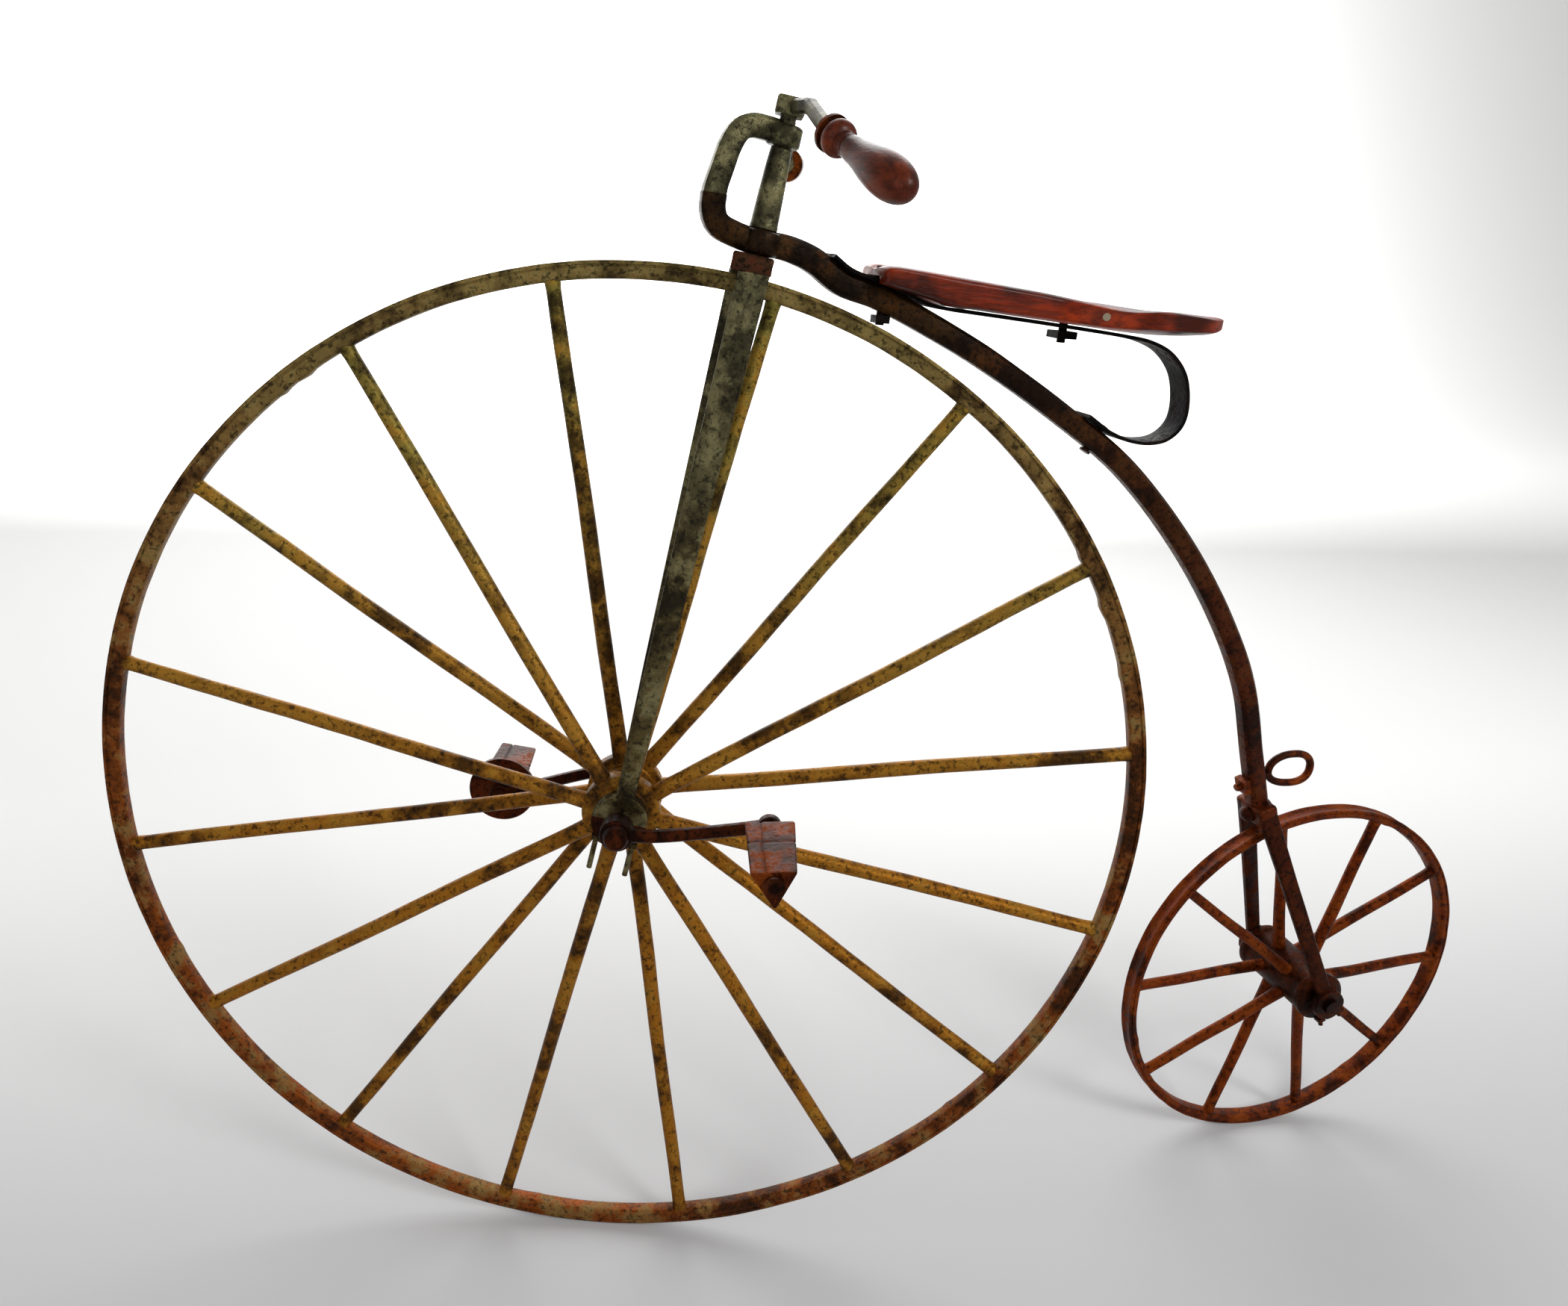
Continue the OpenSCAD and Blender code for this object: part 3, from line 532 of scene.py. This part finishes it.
grid = rim_surface(FRONT_R, FRONT_RIM_W, FRONT_RIM_T, 3.4, AXLE, FRONT_LUMPS)
finish_piece(shell("front-rim", [grid], True, loops=(0,)), olive, "front_wheel", ["front_rim"])
grids = spoke_surfaces(FRONT_SPOKES, FRONT_PHASE, 1, FRONT_SPOKE_ROOT, FRONT_FLANGE_Y,
                       FRONT_R - FRONT_RIM_T + 1.0, FRONT_SPOKE_D, AXLE)
finish_piece(shell("front-spokes", grids, True), spoke_iron, "front_wheel", ["front_spokes"])
grid = rim_surface(REAR_R, REAR_RIM_W, REAR_RIM_T, 2.6, REAR_AXLE, REAR_LUMPS)
finish_piece(shell("rear-rim", [grid], False, loops=(0,)), rusty, "rear_wheel", ["rear_rim"])
grids = spoke_surfaces(REAR_SPOKES, REAR_PHASE, -1, REAR_SPOKE_ROOT, REAR_FLANGE_Y,
                       REAR_R - REAR_RIM_T + 0.9, REAR_SPOKE_D, REAR_AXLE)
finish_piece(shell("rear-spokes", grids, False), rusty, "rear_wheel", ["rear_spokes"])

# Each hub's profile from one end to its middle, as (radius, distance along the axle)
FRONT_HUB = [(BORE_R, -32), (22, -32), (24, -31.4), (25, -30), (31, -28.6), (33, -27.6), (33.5, -26),
             (33.5, -16), (32.6, -14.6), (28, -13.6), (26.6, -12.4), (26.3, -6), (26.8, 0)]
REAR_HUB = [(BORE_R, -49), (23, -49), (25.6, -48.2), (27, -46.4), (27, -40), (26, -38.4), (25.4, -36),
            (25.2, -18), (25.8, 0)]


def hub_surface(profile, n, uneven, centre):
    """Half a hub's profile and its mirror image, spun about the axle."""
    whole = np.array(profile + [(r, -h) for r, h in profile[-2::-1]])
    return laid(turned_round(whole, n, uneven), ALONG_Y, centre)


finish_piece(shell("front-hub", [hub_surface(FRONT_HUB, 72, 0.008, AXLE)], True), spoke_iron, "front_wheel",
             ["front_hub"])
finish_piece(shell("rear-hub", [hub_surface(REAR_HUB, 64, 0.01, REAR_AXLE)], False), deep_rust, "rear_wheel",
             ["rear_hub"])


# ---------- cranks and pedals ----------

def crank_surfaces():
    """The left crank: a round boss, an arm that dips and rises again, and a round eye."""
    arm = curve([(0, 0, 0), (30, 0, -3.2), (68, 0, -2.6), (105, 0, -0.6), (CRANK_LEN, 0, 0)], 3.0)
    arm[:, 1] = -CRANK_Y - 3.5
    s = np.linspace(0, 1, len(arm))
    at_boss, at_eye = 0.22 * np.exp(-(s / 0.10) ** 2), 0.18 * np.exp(-((1 - s) / 0.10) ** 2)
    tall = 1 + at_boss + at_eye - 0.05 * np.sin(s * math.pi)
    scale = np.stack([np.ones(len(s)), tall], 1)
    boss = [(8.0, -8), (12.4, -8), (13.6, -7.2), (14, -6), (14, 6), (13.6, 7.2), (12.4, 8), (8.0, 8)]
    eye = [(4.5, -4.4), (8.8, -4.4), (9.8, -3.4), (10, -2), (10, 2), (9.8, 3.4), (8.8, 4.4), (4.5, 4.4)]
    return [laid(turned_round(boss, 40, 0.01), ALONG_Y, (0, -CRANK_Y, 0)),
            carried(arm, bar_section(9, 10.6, 2.2, 0.9), scale, (0, 1, 0), 0.012, 0.2),
            laid(turned_round(eye, 36, 0.01), ALONG_Y, (CRANK_LEN, -CRANK_Y - 3.5, 0))]


finish_piece(shell("left-crank", [tilted(g, LEFT_CRANK) for g in crank_surfaces()], True), deep_rust,
             "front_wheel", ["crank_left"])
finish_piece(shell("right-crank", [tilted(mirrored(g), RIGHT_CRANK) for g in crank_surfaces()], True),
             deep_rust, "front_wheel", ["crank_right"])


def pedal_surfaces(roll):
    """The left pedal: a rounded triangle that narrows outwards, with one groove across it and a seam
    along its flat top, and three small pins in its outer end."""
    triangle = rounded([(math.cos(t) / math.sqrt(3), math.sin(t) / math.sqrt(3))
                        for t in np.radians([-90, 30, 150])], 0.045, 6, 16)
    rim = np.array([0.0, 0.6, 1.6])
    y = np.concatenate([rim, np.linspace(4, PEDAL_LEN - 4, 46), PEDAL_LEN - rim[::-1]])
    edge = np.minimum(y, PEDAL_LEN - y)
    size = (PEDAL_SIDE - 6 * y / PEDAL_LEN) * (1 - 0.035 * np.exp(-edge / 0.7))
    size *= 1 - 0.045 * np.exp(-((y - 0.42 * PEDAL_LEN) / 1.3) ** 2)
    x = triangle[None, :, 0] * size[:, None]
    z = triangle[None, :, 1] * size[:, None]
    top = np.clip((triangle[:, 1] - 0.26) * 60, 0, 1)
    seam = np.exp(-((triangle[:, 0] + 0.17) / 0.022) ** 2) * top
    hollow = 0.9 * waves(y[:, None] * 0.12, triangle[None, :, 0] * 9, 6)
    z = z - 1.1 * seam[None, :] - 0.35 * np.abs(hollow) * top[None, :]
    grid = np.stack([x, np.broadcast_to(-PEDAL_Y - y[:, None], x.shape), z], axis=2)
    parts = [tilted(grid, -roll)]
    for spot in ((-10.5, 5.5), (10.5, 5.5), (0, -13)):
        pin = laid(dome(1.7, 1.3, 12, 4), axes((0, -1, 0)), (spot[0], -PEDAL_Y - PEDAL_LEN + 0.1, spot[1]))
        parts.append(tilted(pin, -roll))
    return parts


def at_crank(grid, angle):
    """Moves a pedal's grid to the far end of its crank."""
    a = math.radians(angle)
    return grid + CRANK_LEN * np.array([math.cos(a), 0, math.sin(a)])


grids = [at_crank(g, LEFT_CRANK) for g in pedal_surfaces(LEFT_ROLL)]
finish_piece(shell("left-pedal", grids, True, sharp=28), rusty, "left_pedal", ["pedal_block_left"])
grids = [at_crank(mirrored(g), RIGHT_CRANK) for g in pedal_surfaces(RIGHT_ROLL)]
finish_piece(shell("right-pedal", grids, True, sharp=28), rusty, "right_pedal", ["pedal_block_right"])


# ---------- fork and handlebar ----------

def fork_blade_surfaces(back):
    """The left blade: a flat bar from the bearing up to the crown, wider upwards, with a broad bevel on
    its front outer edge, and the upper half of the bearing at its foot."""
    lean = math.atan2(TRAIL + 450 * math.tan(RAKE) + back - BLADE_AHEAD, 450)
    s = np.linspace(0, 1, 110)[:, None]
    foot = np.array([math.sin(lean) * 12, -BEARING_Y, math.cos(lean) * 12])
    top = np.array([math.sin(lean) * 453, -BLADE_TOP_Y, math.cos(lean) * 453])
    path = foot * (1 - s) + top * s
    section = rounded([(-4.25, -5), (-4.25, 8.6), (-3, 10), (4.25, 10), (4.25, -10), (-1.4, -10)], 0.6, 3, 2)
    wide = np.interp(s[:, 0], [0, 0.24, 1], [0.76, 0.90, 1.2])
    scale = np.stack([np.ones(len(s)), wide], 1)
    blade = carried(path, section, scale, (0, 1, 0), 0.006, 0.08)
    housing = ring_part(BORE_R, BEARING_R, 10, 0, 180, 34)
    housing = about(housing, lean, np.array([0.0, 1.0, 0.0])) + np.array([0, -BEARING_Y, 0])
    return [blade, housing]


finish_piece(shell("left-fork-blade", fork_blade_surfaces(LEFT_BLADE_BACK), True), grey_green, "steering",
             ["fork_blade_left"])
finish_piece(shell("right-fork-blade", [mirrored(g) for g in fork_blade_surfaces(0.0)], True), grey_green,
             "steering", ["fork_blade_right"])

SPINDLE = [(8.9, -0.5), (10.8, 0), (11, 2.5), (10.6, 3.5), (10.1, 20), (9.2, 41), (8.3, 54.6), (8.0, 57.4),
           (7.6, 58.3), (6.5, 58.6), (6.5, 77), (6.1, 78), (6.5, 80), (6.5, 93.2), (5.5, 93.7)]
grid = on_axis(turned_round(SPINDLE, 48, 0.008), SPINDLE_AT)
finish_piece(shell("steering-spindle", [grid], True), grey_green, "steering", ["steering_spindle"])


def crown_surfaces():
    """The crown: a forged block with eased edges over both blades, and the journal on top of it."""
    left, right, half = -18.3, 13.3, BLADE_TOP_Y + 4.8
    plan = rounded([(left, -half), (right, -half), (right, half), (left, half)], 3.2, 5, 4)
    middle = np.array([(left + right) / 2, 0.0])
    levels = np.array([[0, 0.93], [0.7, 0.98], [1.8, 1.0], [7, 0.985], [CROWN_THICK - 2, 1.0],
                       [CROWN_THICK - 0.8, 0.97], [CROWN_THICK, 0.91]])
    flat = middle + (plan - middle)[None, :, :] * levels[:, 1, None, None]
    block = np.concatenate([flat, np.broadcast_to(levels[:, :1, None], (len(levels), len(plan), 1))], axis=2)
    journal = turned_round([(9, CROWN_THICK - 1), (9, SPINDLE_AT - CROWN_AT)], 40)
    return [on_axis(block, CROWN_AT), on_axis(journal, CROWN_AT)]


finish_piece(shell("forged-crown", crown_surfaces(), True), crown_brown, "steering", ["fork_crown"])


def handlebar_surfaces():
    """A squared lug on the spindle, and one bent bar each side that ends in a rounded root and a tang."""
    lug = rounded([(-11, -10), (11, -10), (11, 10), (-11, 10)], 3.0, 4, 2)
    levels = np.array([[-6.4, 0.93], [-5.6, 0.985], [-4.4, 1.0], [4.2, 1.0], [5.5, 0.97], [6.4, 0.9]])
    block = np.concatenate([lug[None, :, :] * levels[:, 1, None, None],
                            np.broadcast_to(levels[:, :1, None], (6, len(lug), 1))], axis=2)
    made = [on_axis(block, LUG_AT)]
    start = np.array([TRAIL, 0, 0]) + AXIS * LUG_AT
    for bend, end, aim in ((LEFT_BEND, LEFT_END, LEFT_AIM), (RIGHT_BEND, RIGHT_END, RIGHT_AIM)):
        bend, end = np.array(bend, float), np.array(end, float)
        near = start * 0.25 + bend * 0.75
        after = bend * 0.8 + end * 0.2
        path = curve([start, near, bend, after, end], 2.0)
        made.append(carried(path, bar_section(10.6, 9.4, 2.0, 0.7), 1.0, (0, 0, 1), 0.012, 0.3))
        d = np.array(aim, float) / np.linalg.norm(aim)
        root = [(0, -6.2), (3.6, -5.2), (5.6, -3), (6.4, 0), (6.4, 3.6), (4, 4), (4, 98), (0, 98.5)]
        made.append(laid(turned_round(root, 28), axes(d), end))
    return made


finish_piece(shell("bent-handlebar", handlebar_surfaces(), True), grey_green, "steering", ["handlebar"])


def grip_surface(end, aim):
    """A turned grip: a bead, a narrow neck with two fine lines, and a pear-shaped end."""
    bead = [(12.8 * math.cos(t) ** 0.6 if math.cos(t) > 0 else 0, 8 + 8.2 * math.sin(t))
            for t in np.radians(np.linspace(-58, 62, 13))]
    neck = [(8.6, 16.6), (7.9, 17.6), (7.6, 19), (7.9, 21), (7.7, 21.5), (8.1, 22.1), (8.6, 26), (9.2, 30)]
    t = np.linspace(0, 1, 26)[1:]
    pear = [(9.2 + 5.4 * math.sin(u * math.pi / 2) ** 1.5, 30 + 43 * u) for u in t[:13] / t[12]]
    tip = [(14.6 * math.cos(a) ** 0.85 if a < math.pi / 2 - 1e-6 else 0.0, 73 + 27 * math.sin(a))
           for a in np.linspace(0.08, math.pi / 2, 16)]
    profile = [(4.1, 0.6), (8.5, 0.4)] + bead + neck + pear + tip
    d = np.array(aim, float) / np.linalg.norm(aim)
    return laid(turned_round(profile, 56, 0.006, 0), axes(d), np.array(end, float) + d * 7)


for side, end, aim in (("left", LEFT_END, LEFT_AIM), ("right", RIGHT_END, RIGHT_AIM)):
    finish_piece(shell(f"{side}-grip", [grip_surface(end, aim)], True, sharp=60), grip_wood, "steering",
                 [f"grip_{side}"])


# ---------- frame ----------

def in_plane(points):
    """[x, z] points of the middle plane as [x, y, z]."""
    p = np.asarray(points, float)
    return np.stack([p[:, 0], np.zeros(len(p)), p[:, 1]], axis=1)


def collar(radius, half, bore, edge=1.6):
    """A round collar about the steering axis, with eased edges."""
    return turned_round([(bore, -half), (radius - edge, -half), (radius - 0.4, -half + edge * 0.6),
                         (radius, -half + edge), (radius, half - edge), (radius - 0.4, half - edge * 0.6),
                         (radius - edge, half), (bore, half)], 48, 0.012)


def yoke_surface():
    """The block at the backbone's foot, longer across the machine than it is along it."""
    loop = rounded([(-10, -11), (10, -11), (10, 11), (-10, 11)], 3.0, 4, 2)
    y = np.array([-19, -18.4, -16.8, -12, -8.5, 8.5, 12, 16.8, 18.4, 19])
    size = np.array([0.86, 0.94, 1, 1, 1.03, 1.03, 1, 1, 0.94, 0.86])
    grid = np.stack([loop[None, :, 0] * size[:, None], np.broadcast_to(y[:, None], (len(y), len(loop))),
                     loop[None, :, 1] * size[:, None]], axis=2)
    return about(grid, -math.radians(YOKE_TILT), np.array([0.0, 1.0, 0.0])) + YOKE


backbone = curve(in_plane(BACKBONE), 4.0)
thick = np.interp(np.linspace(0, 1, len(backbone)), [0, 0.05, 0.12, 0.4, 0.85, 1],
                  [1.0, 1.0, 1.04, 0.97, 1.03, 1.05])
grids = [carried(backbone, bar_section(17, 18.6, 3.4, 1.0), thick, (0, 1, 0), 0.012, 0.12),
         on_axis(collar(15.0, 8.8, 9.1), COLLAR_AT), yoke_surface()]
finish_piece(shell("curved-backbone", grids, False), brown, "frame", ["backbone"])
loop_path = curve(in_plane(LOOP), 2.0)
thick = np.interp(np.linspace(0, 1, len(loop_path)), [0, 0.06, 0.12, 1], [1.0, 1.0, 0.97, 0.93])
grids = [carried(loop_path, bar_section(16.4, 17.8, 3.2, 0.9), thick, (0, 1, 0), 0.012, 0.16),
         on_axis(collar(13.0, 7.6, 6.6), BOSS_AT)]
finish_piece(shell("head-loop", grids, False), grey_green, "frame", ["head_loop"])


def rear_blade_surfaces():
    """The left rear blade: a flat bar that spreads from the yoke to its bearing, with the upper
    half of the bearing at its foot."""
    run = REAR_AXLE - YOKE
    lean = math.atan2(run[0], -run[2])
    up = np.array([-math.sin(lean), 0, math.cos(lean)])
    s = np.linspace(0, 1, 60)[:, None]
    low = REAR_AXLE + np.array([0, -REAR_BEARING_Y + 1.2, 0]) + up * 10
    high = REAR_AXLE + np.array([0, -YOKE_Y + 1.6, 0]) + up * 236
    path = low * (1 - s) + high * s
    scale = np.stack([np.ones(len(s)), np.interp(s[:, 0], [0, 0.6, 1], [0.9, 1.0, 1.18])], 1)
    housing = about(ring_part(BORE_R, REAR_BEARING_R, 9, 0, 180, 26), -lean, np.array([0.0, 1.0, 0.0]))
    return [carried(path, bar_section(7, 17.2, 1.6, 0.6), scale, (0, 1, 0), 0.012, 0.15),
            housing + REAR_AXLE + np.array([0, -REAR_BEARING_Y, 0])]


finish_piece(shell("left-rear-blade", rear_blade_surfaces(), False), deep_rust, "frame", ["rear_fork_left"])
finish_piece(shell("right-rear-blade", [mirrored(g) for g in rear_blade_surfaces()], False), deep_rust,
             "frame", ["rear_fork_right"])


def eyebolt_surfaces():
    """A ring bent from wire, a little pear-shaped, and its shank through the backbone."""
    a = np.linspace(0, 2 * math.pi, 72, endpoint=False)
    x = EYE_X + np.sign(np.cos(a)) * 25.2 * np.abs(np.cos(a)) ** 0.85
    z = EYE_Z + np.sign(np.sin(a)) * 16.2 * np.abs(np.sin(a)) ** 0.9 * (1 + 0.05 * np.cos(a))
    ring = np.stack([x, 0.6 * np.sin(2 * a), z], axis=1)
    ahead = np.roll(ring, -1, 0) - np.roll(ring, 1, 0)
    ahead /= np.linalg.norm(ahead, axis=1)[:, None]
    side = np.array([0.0, 1.0, 0.0])
    normal = np.cross(side, ahead)
    c = circle(3.8, 16)
    tube = ring[:, None, :] + c[None, :, :1] * side + c[None, :, 1:] * normal[:, None, :]
    line = np.array([-math.cos(math.radians(YOKE_TILT)), 0, -math.sin(math.radians(YOKE_TILT))])
    shank = turned_round([(4.6, -15), (4.2, -11), (4, -8), (4, 20.6), (3.2, 22)], 24, 0.01)
    return [tube, laid(shank, axes(line), (651, 0, -8))]


finish_piece(shell("eyebolt-ring", eyebolt_surfaces(), False, loops=(0,)), rusty, "frame", ["eyebolt"])


# ---------- seat ----------

def seat_half(x):
    """Half the seat's width: a narrow front, a smooth step out to the broad rear, and a round tail."""
    t = np.clip((x - 318) / 82, 0, 1)
    broad = 27 + 37 * t * t * (3 - 2 * t)
    tail = np.clip((x - 404) / 74, 0, 1) ** 2.4
    front = np.clip((x - SEAT_FRONT) / 7, 0, 1)
    return broad * np.maximum(1 - tail, 0) ** 0.42 * (0.88 + 0.12 * np.sqrt(1 - (1 - front) ** 2))


def seat_surface():
    """The seat's skin: at each place along it, a rounded section between the top and bottom lines.
    The rear edges curl up a little, and a channel under the front clears the spring and backbone."""
    top_line = curve([(SEAT_FRONT, 458.6), (178, 460.9), (200, 460), (300, 451.5), (345, 446.2), (372, 442.6),
                      (400, 442.4), (440, 440.6), (SEAT_TAIL, 442.0)], 2)
    low_line = curve([(SEAT_FRONT, 446.9), (183, 444.4), (236, 433.6), (256, 432.4), (345, 426.8),
                      (400, 423.4), (440, 424.6), (462, 429.5), (SEAT_TAIL, 434.5)], 2)
    x = np.concatenate([np.linspace(SEAT_FRONT, 180, 9), np.linspace(183, 460, 92),
                        SEAT_TAIL - 18 * np.linspace(0.95, 0, 16) ** 2])
    outline = rounded([(-1, -1), (1, -1), (1, 1), (-1, 1)], 0.4, 9, 22)
    across, up = outline[:, 0], outline[:, 1]
    high = np.interp(x, top_line[:, 0], top_line[:, 1])[:, None]
    low = np.interp(x, low_line[:, 0], low_line[:, 1])[:, None]
    half = np.maximum(seat_half(x), 0.4)[:, None]
    y = half * across[None, :]
    tip = np.clip((SEAT_TAIL - x) / 10, 0, 1)[:, None] ** 0.5
    z = (high + low) / 2 + (high - low) / 2 * up[None, :] * (0.35 + 0.65 * tip)
    edge = np.clip(np.abs(y) / 64, 0, 1) ** 2
    rear = np.clip((x - 350) / 40, 0, 1)[:, None] * np.clip((470 - x) / 30, 0, 1)[:, None]
    z = z + rear * edge * 3.4 - rear * (1 - edge) * 2.0 * (up[None, :] > 0)
    under = (up[None, :] < 0) & (np.abs(y) < 13.5)
    channel = 449.9 - (x - FRONT_BOLT_X) * 16.3 / 55
    z = np.where(under & (x[:, None] < 237), np.maximum(z, channel[:, None]), z)
    for bolt_x, depth in ((FRONT_BOLT_X, 2.6), (SEAT_BOLT_X, 2.8)):
        z = z - depth * np.exp(-(np.hypot(x[:, None] - bolt_x, y) / 10.5) ** 6) * (up[None, :] > 0.9)
    z = z + 0.35 * waves(x[:, None] * 0.05, y * 0.12, 6)
    return np.stack([np.broadcast_to(x[:, None], y.shape), y, np.minimum(z, 461.0)], axis=2)


finish_piece(shell("wooden-seat", [seat_surface()], False, sharp=55), seat_wood, "seat", ["seat"])

strip = rounded([(-12.5, -1.5), (12.5, -1.5), (12.5, 1.5), (-12.5, 1.5)], 0.6, 4, 4)
spring_path = curve(in_plane(SPRING), 3.0)
split = int(np.argmin(np.linalg.norm(spring_path - np.array([372.0, 0.0, 422.6]), axis=1)))
front_leaf = shell("seat-spring-front-leaf", [carried(spring_path[:split + 1], strip)], False)
rear_leaf = shell("seat-spring-rear-bow", [carried(spring_path[split:], strip)], False)
for leaf in (front_leaf, rear_leaf):
    leaf.data.materials.append(black)
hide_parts("seat_spring")
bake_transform(front_leaf)
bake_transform(rear_leaf)

# ---------- the frame's own pieces ----------

CAD_FINISH = {
    "front_axle": deep_rust, "pedal_pin_left": deep_rust, "pedal_pin_right": deep_rust,
    "pedal_nut_left": brown, "pedal_nut_right": brown, "pedal_flange_right": brown,
    "front_bearing_caps": deep_rust, "front_cap_bolts": grey_green,
    "grip_washers": rusty, "yoke_rivet": deep_rust, "rear_bearing_caps": deep_rust,
    "rear_cap_bolts": deep_rust, "eyebolt_nut": rusty, "rear_axle": deep_rust, "seat_bolt": black,
    "seat_nut": black, "seat_nails": bare_steel, "front_bolt": black, "front_bolt_nut": black,
    "spring_rivet": brown,
}
for name, material in CAD_FINISH.items():
    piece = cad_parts[name]
    piece.data.materials.clear()
    piece.data.materials.append(material)

# ---------- floor, light and camera ----------

def floor_finish():
    """A plain matt finish with painted shade: it is a little greyer towards the front."""
    made = Finish("pale floor with painted shade")
    # painted shade: the colour goes from pale to grey towards the front, standing in for light that falls off
    # there
    tone = made.mix(made.y.ramp(-0.25, 0.9), colour(184, 184, 185), colour(240, 240, 239))
    made.set(Base_Color=tone, Roughness=0.9, Specular_IOR_Level=0.1)
    return made.material


def floor_surface():
    """A flat floor that curves up far behind into a wall: height is the square of the depth past the bend."""
    x = np.linspace(-24, 24, 3)
    y = np.linspace(-10, 16, 60)
    z = 0.16 * np.clip(y - 5, 0, None) ** 2
    grid = np.stack([np.broadcast_to(x[None, :], (60, 3)), np.broadcast_to(y[:, None], (60, 3)),
                     np.broadcast_to(z[:, None], (60, 3))], axis=2)
    rows, cols = grid.shape[:2]
    i, j = np.meshgrid(np.arange(rows - 1), np.arange(cols - 1), indexing="ij")
    here, behind = i * cols + j, (i + 1) * cols + j
    faces = np.stack([here, here + 1, behind + 1, behind], -1).reshape(-1, 4)
    mesh = bpy.data.meshes.new("floor")
    mesh.from_pydata(grid.reshape(-1, 3).tolist(), [], faces.tolist())
    mesh.shade_smooth()
    obj = bpy.data.objects.new("floor", mesh)
    bpy.context.collection.objects.link(obj)
    obj.data.materials.append(floor_finish())
    return obj


floor_surface()


def soft_light(name, at, aim, size, power):
    """A square light of that size at a point, facing another point."""
    data = bpy.data.lights.new(name, "AREA")
    data.size, data.energy = size, power
    obj = bpy.data.objects.new(name, data)
    bpy.context.collection.objects.link(obj)
    turn = Matrix(axes(np.array(at, float) - np.array(aim, float), (1, 0, 0.01)).tolist()).to_4x4()
    obj.matrix_world = Matrix.Translation(at) @ turn
    return obj


soft_light("key light", (1.5, -2.5, 2.4), (0.0, 0.0, 0.5), 1.2, 62)
soft_light("fill light", (-2.0, -2.2, 1.3), (0.0, 0.0, 0.5), 2.2, 12)
soft_light("back light", (0.6, 2.4, 2.6), (0.1, 0.0, 0.5), 2.4, 60)
soft_light("wall light", (0.0, 4.0, 6.0), (0.0, 12.0, 4.0), 6.0, 2000)

world = bpy.data.worlds.new("studio")
world.use_nodes = True
world.node_tree.nodes["Background"].inputs["Color"].default_value = (1.0, 1.0, 1.0, 1.0)
world.node_tree.nodes["Background"].inputs["Strength"].default_value = 0.4
bpy.context.scene.world = world
bpy.context.scene.view_settings.view_transform = "Standard"

CAMERA_AT = (-171.3, -857.6, 468.1)
CAMERA_TURN = (71.968, -4.711, -13.885)  # about X, then Y, then Z, in degrees
camera_data = bpy.data.cameras.new("camera")
camera_data.sensor_width = 36.0
camera_data.lens = 25.714
camera_data.shift_x = 0.0452
camera_data.shift_y = -0.0307
camera_data.clip_start = 0.02
camera = bpy.data.objects.new("camera", camera_data)
bpy.context.collection.objects.link(camera)
camera.location = to_frame(CAMERA_AT, False).tolist()
camera.rotation_euler = [math.radians(a) for a in CAMERA_TURN]
bpy.context.scene.camera = camera
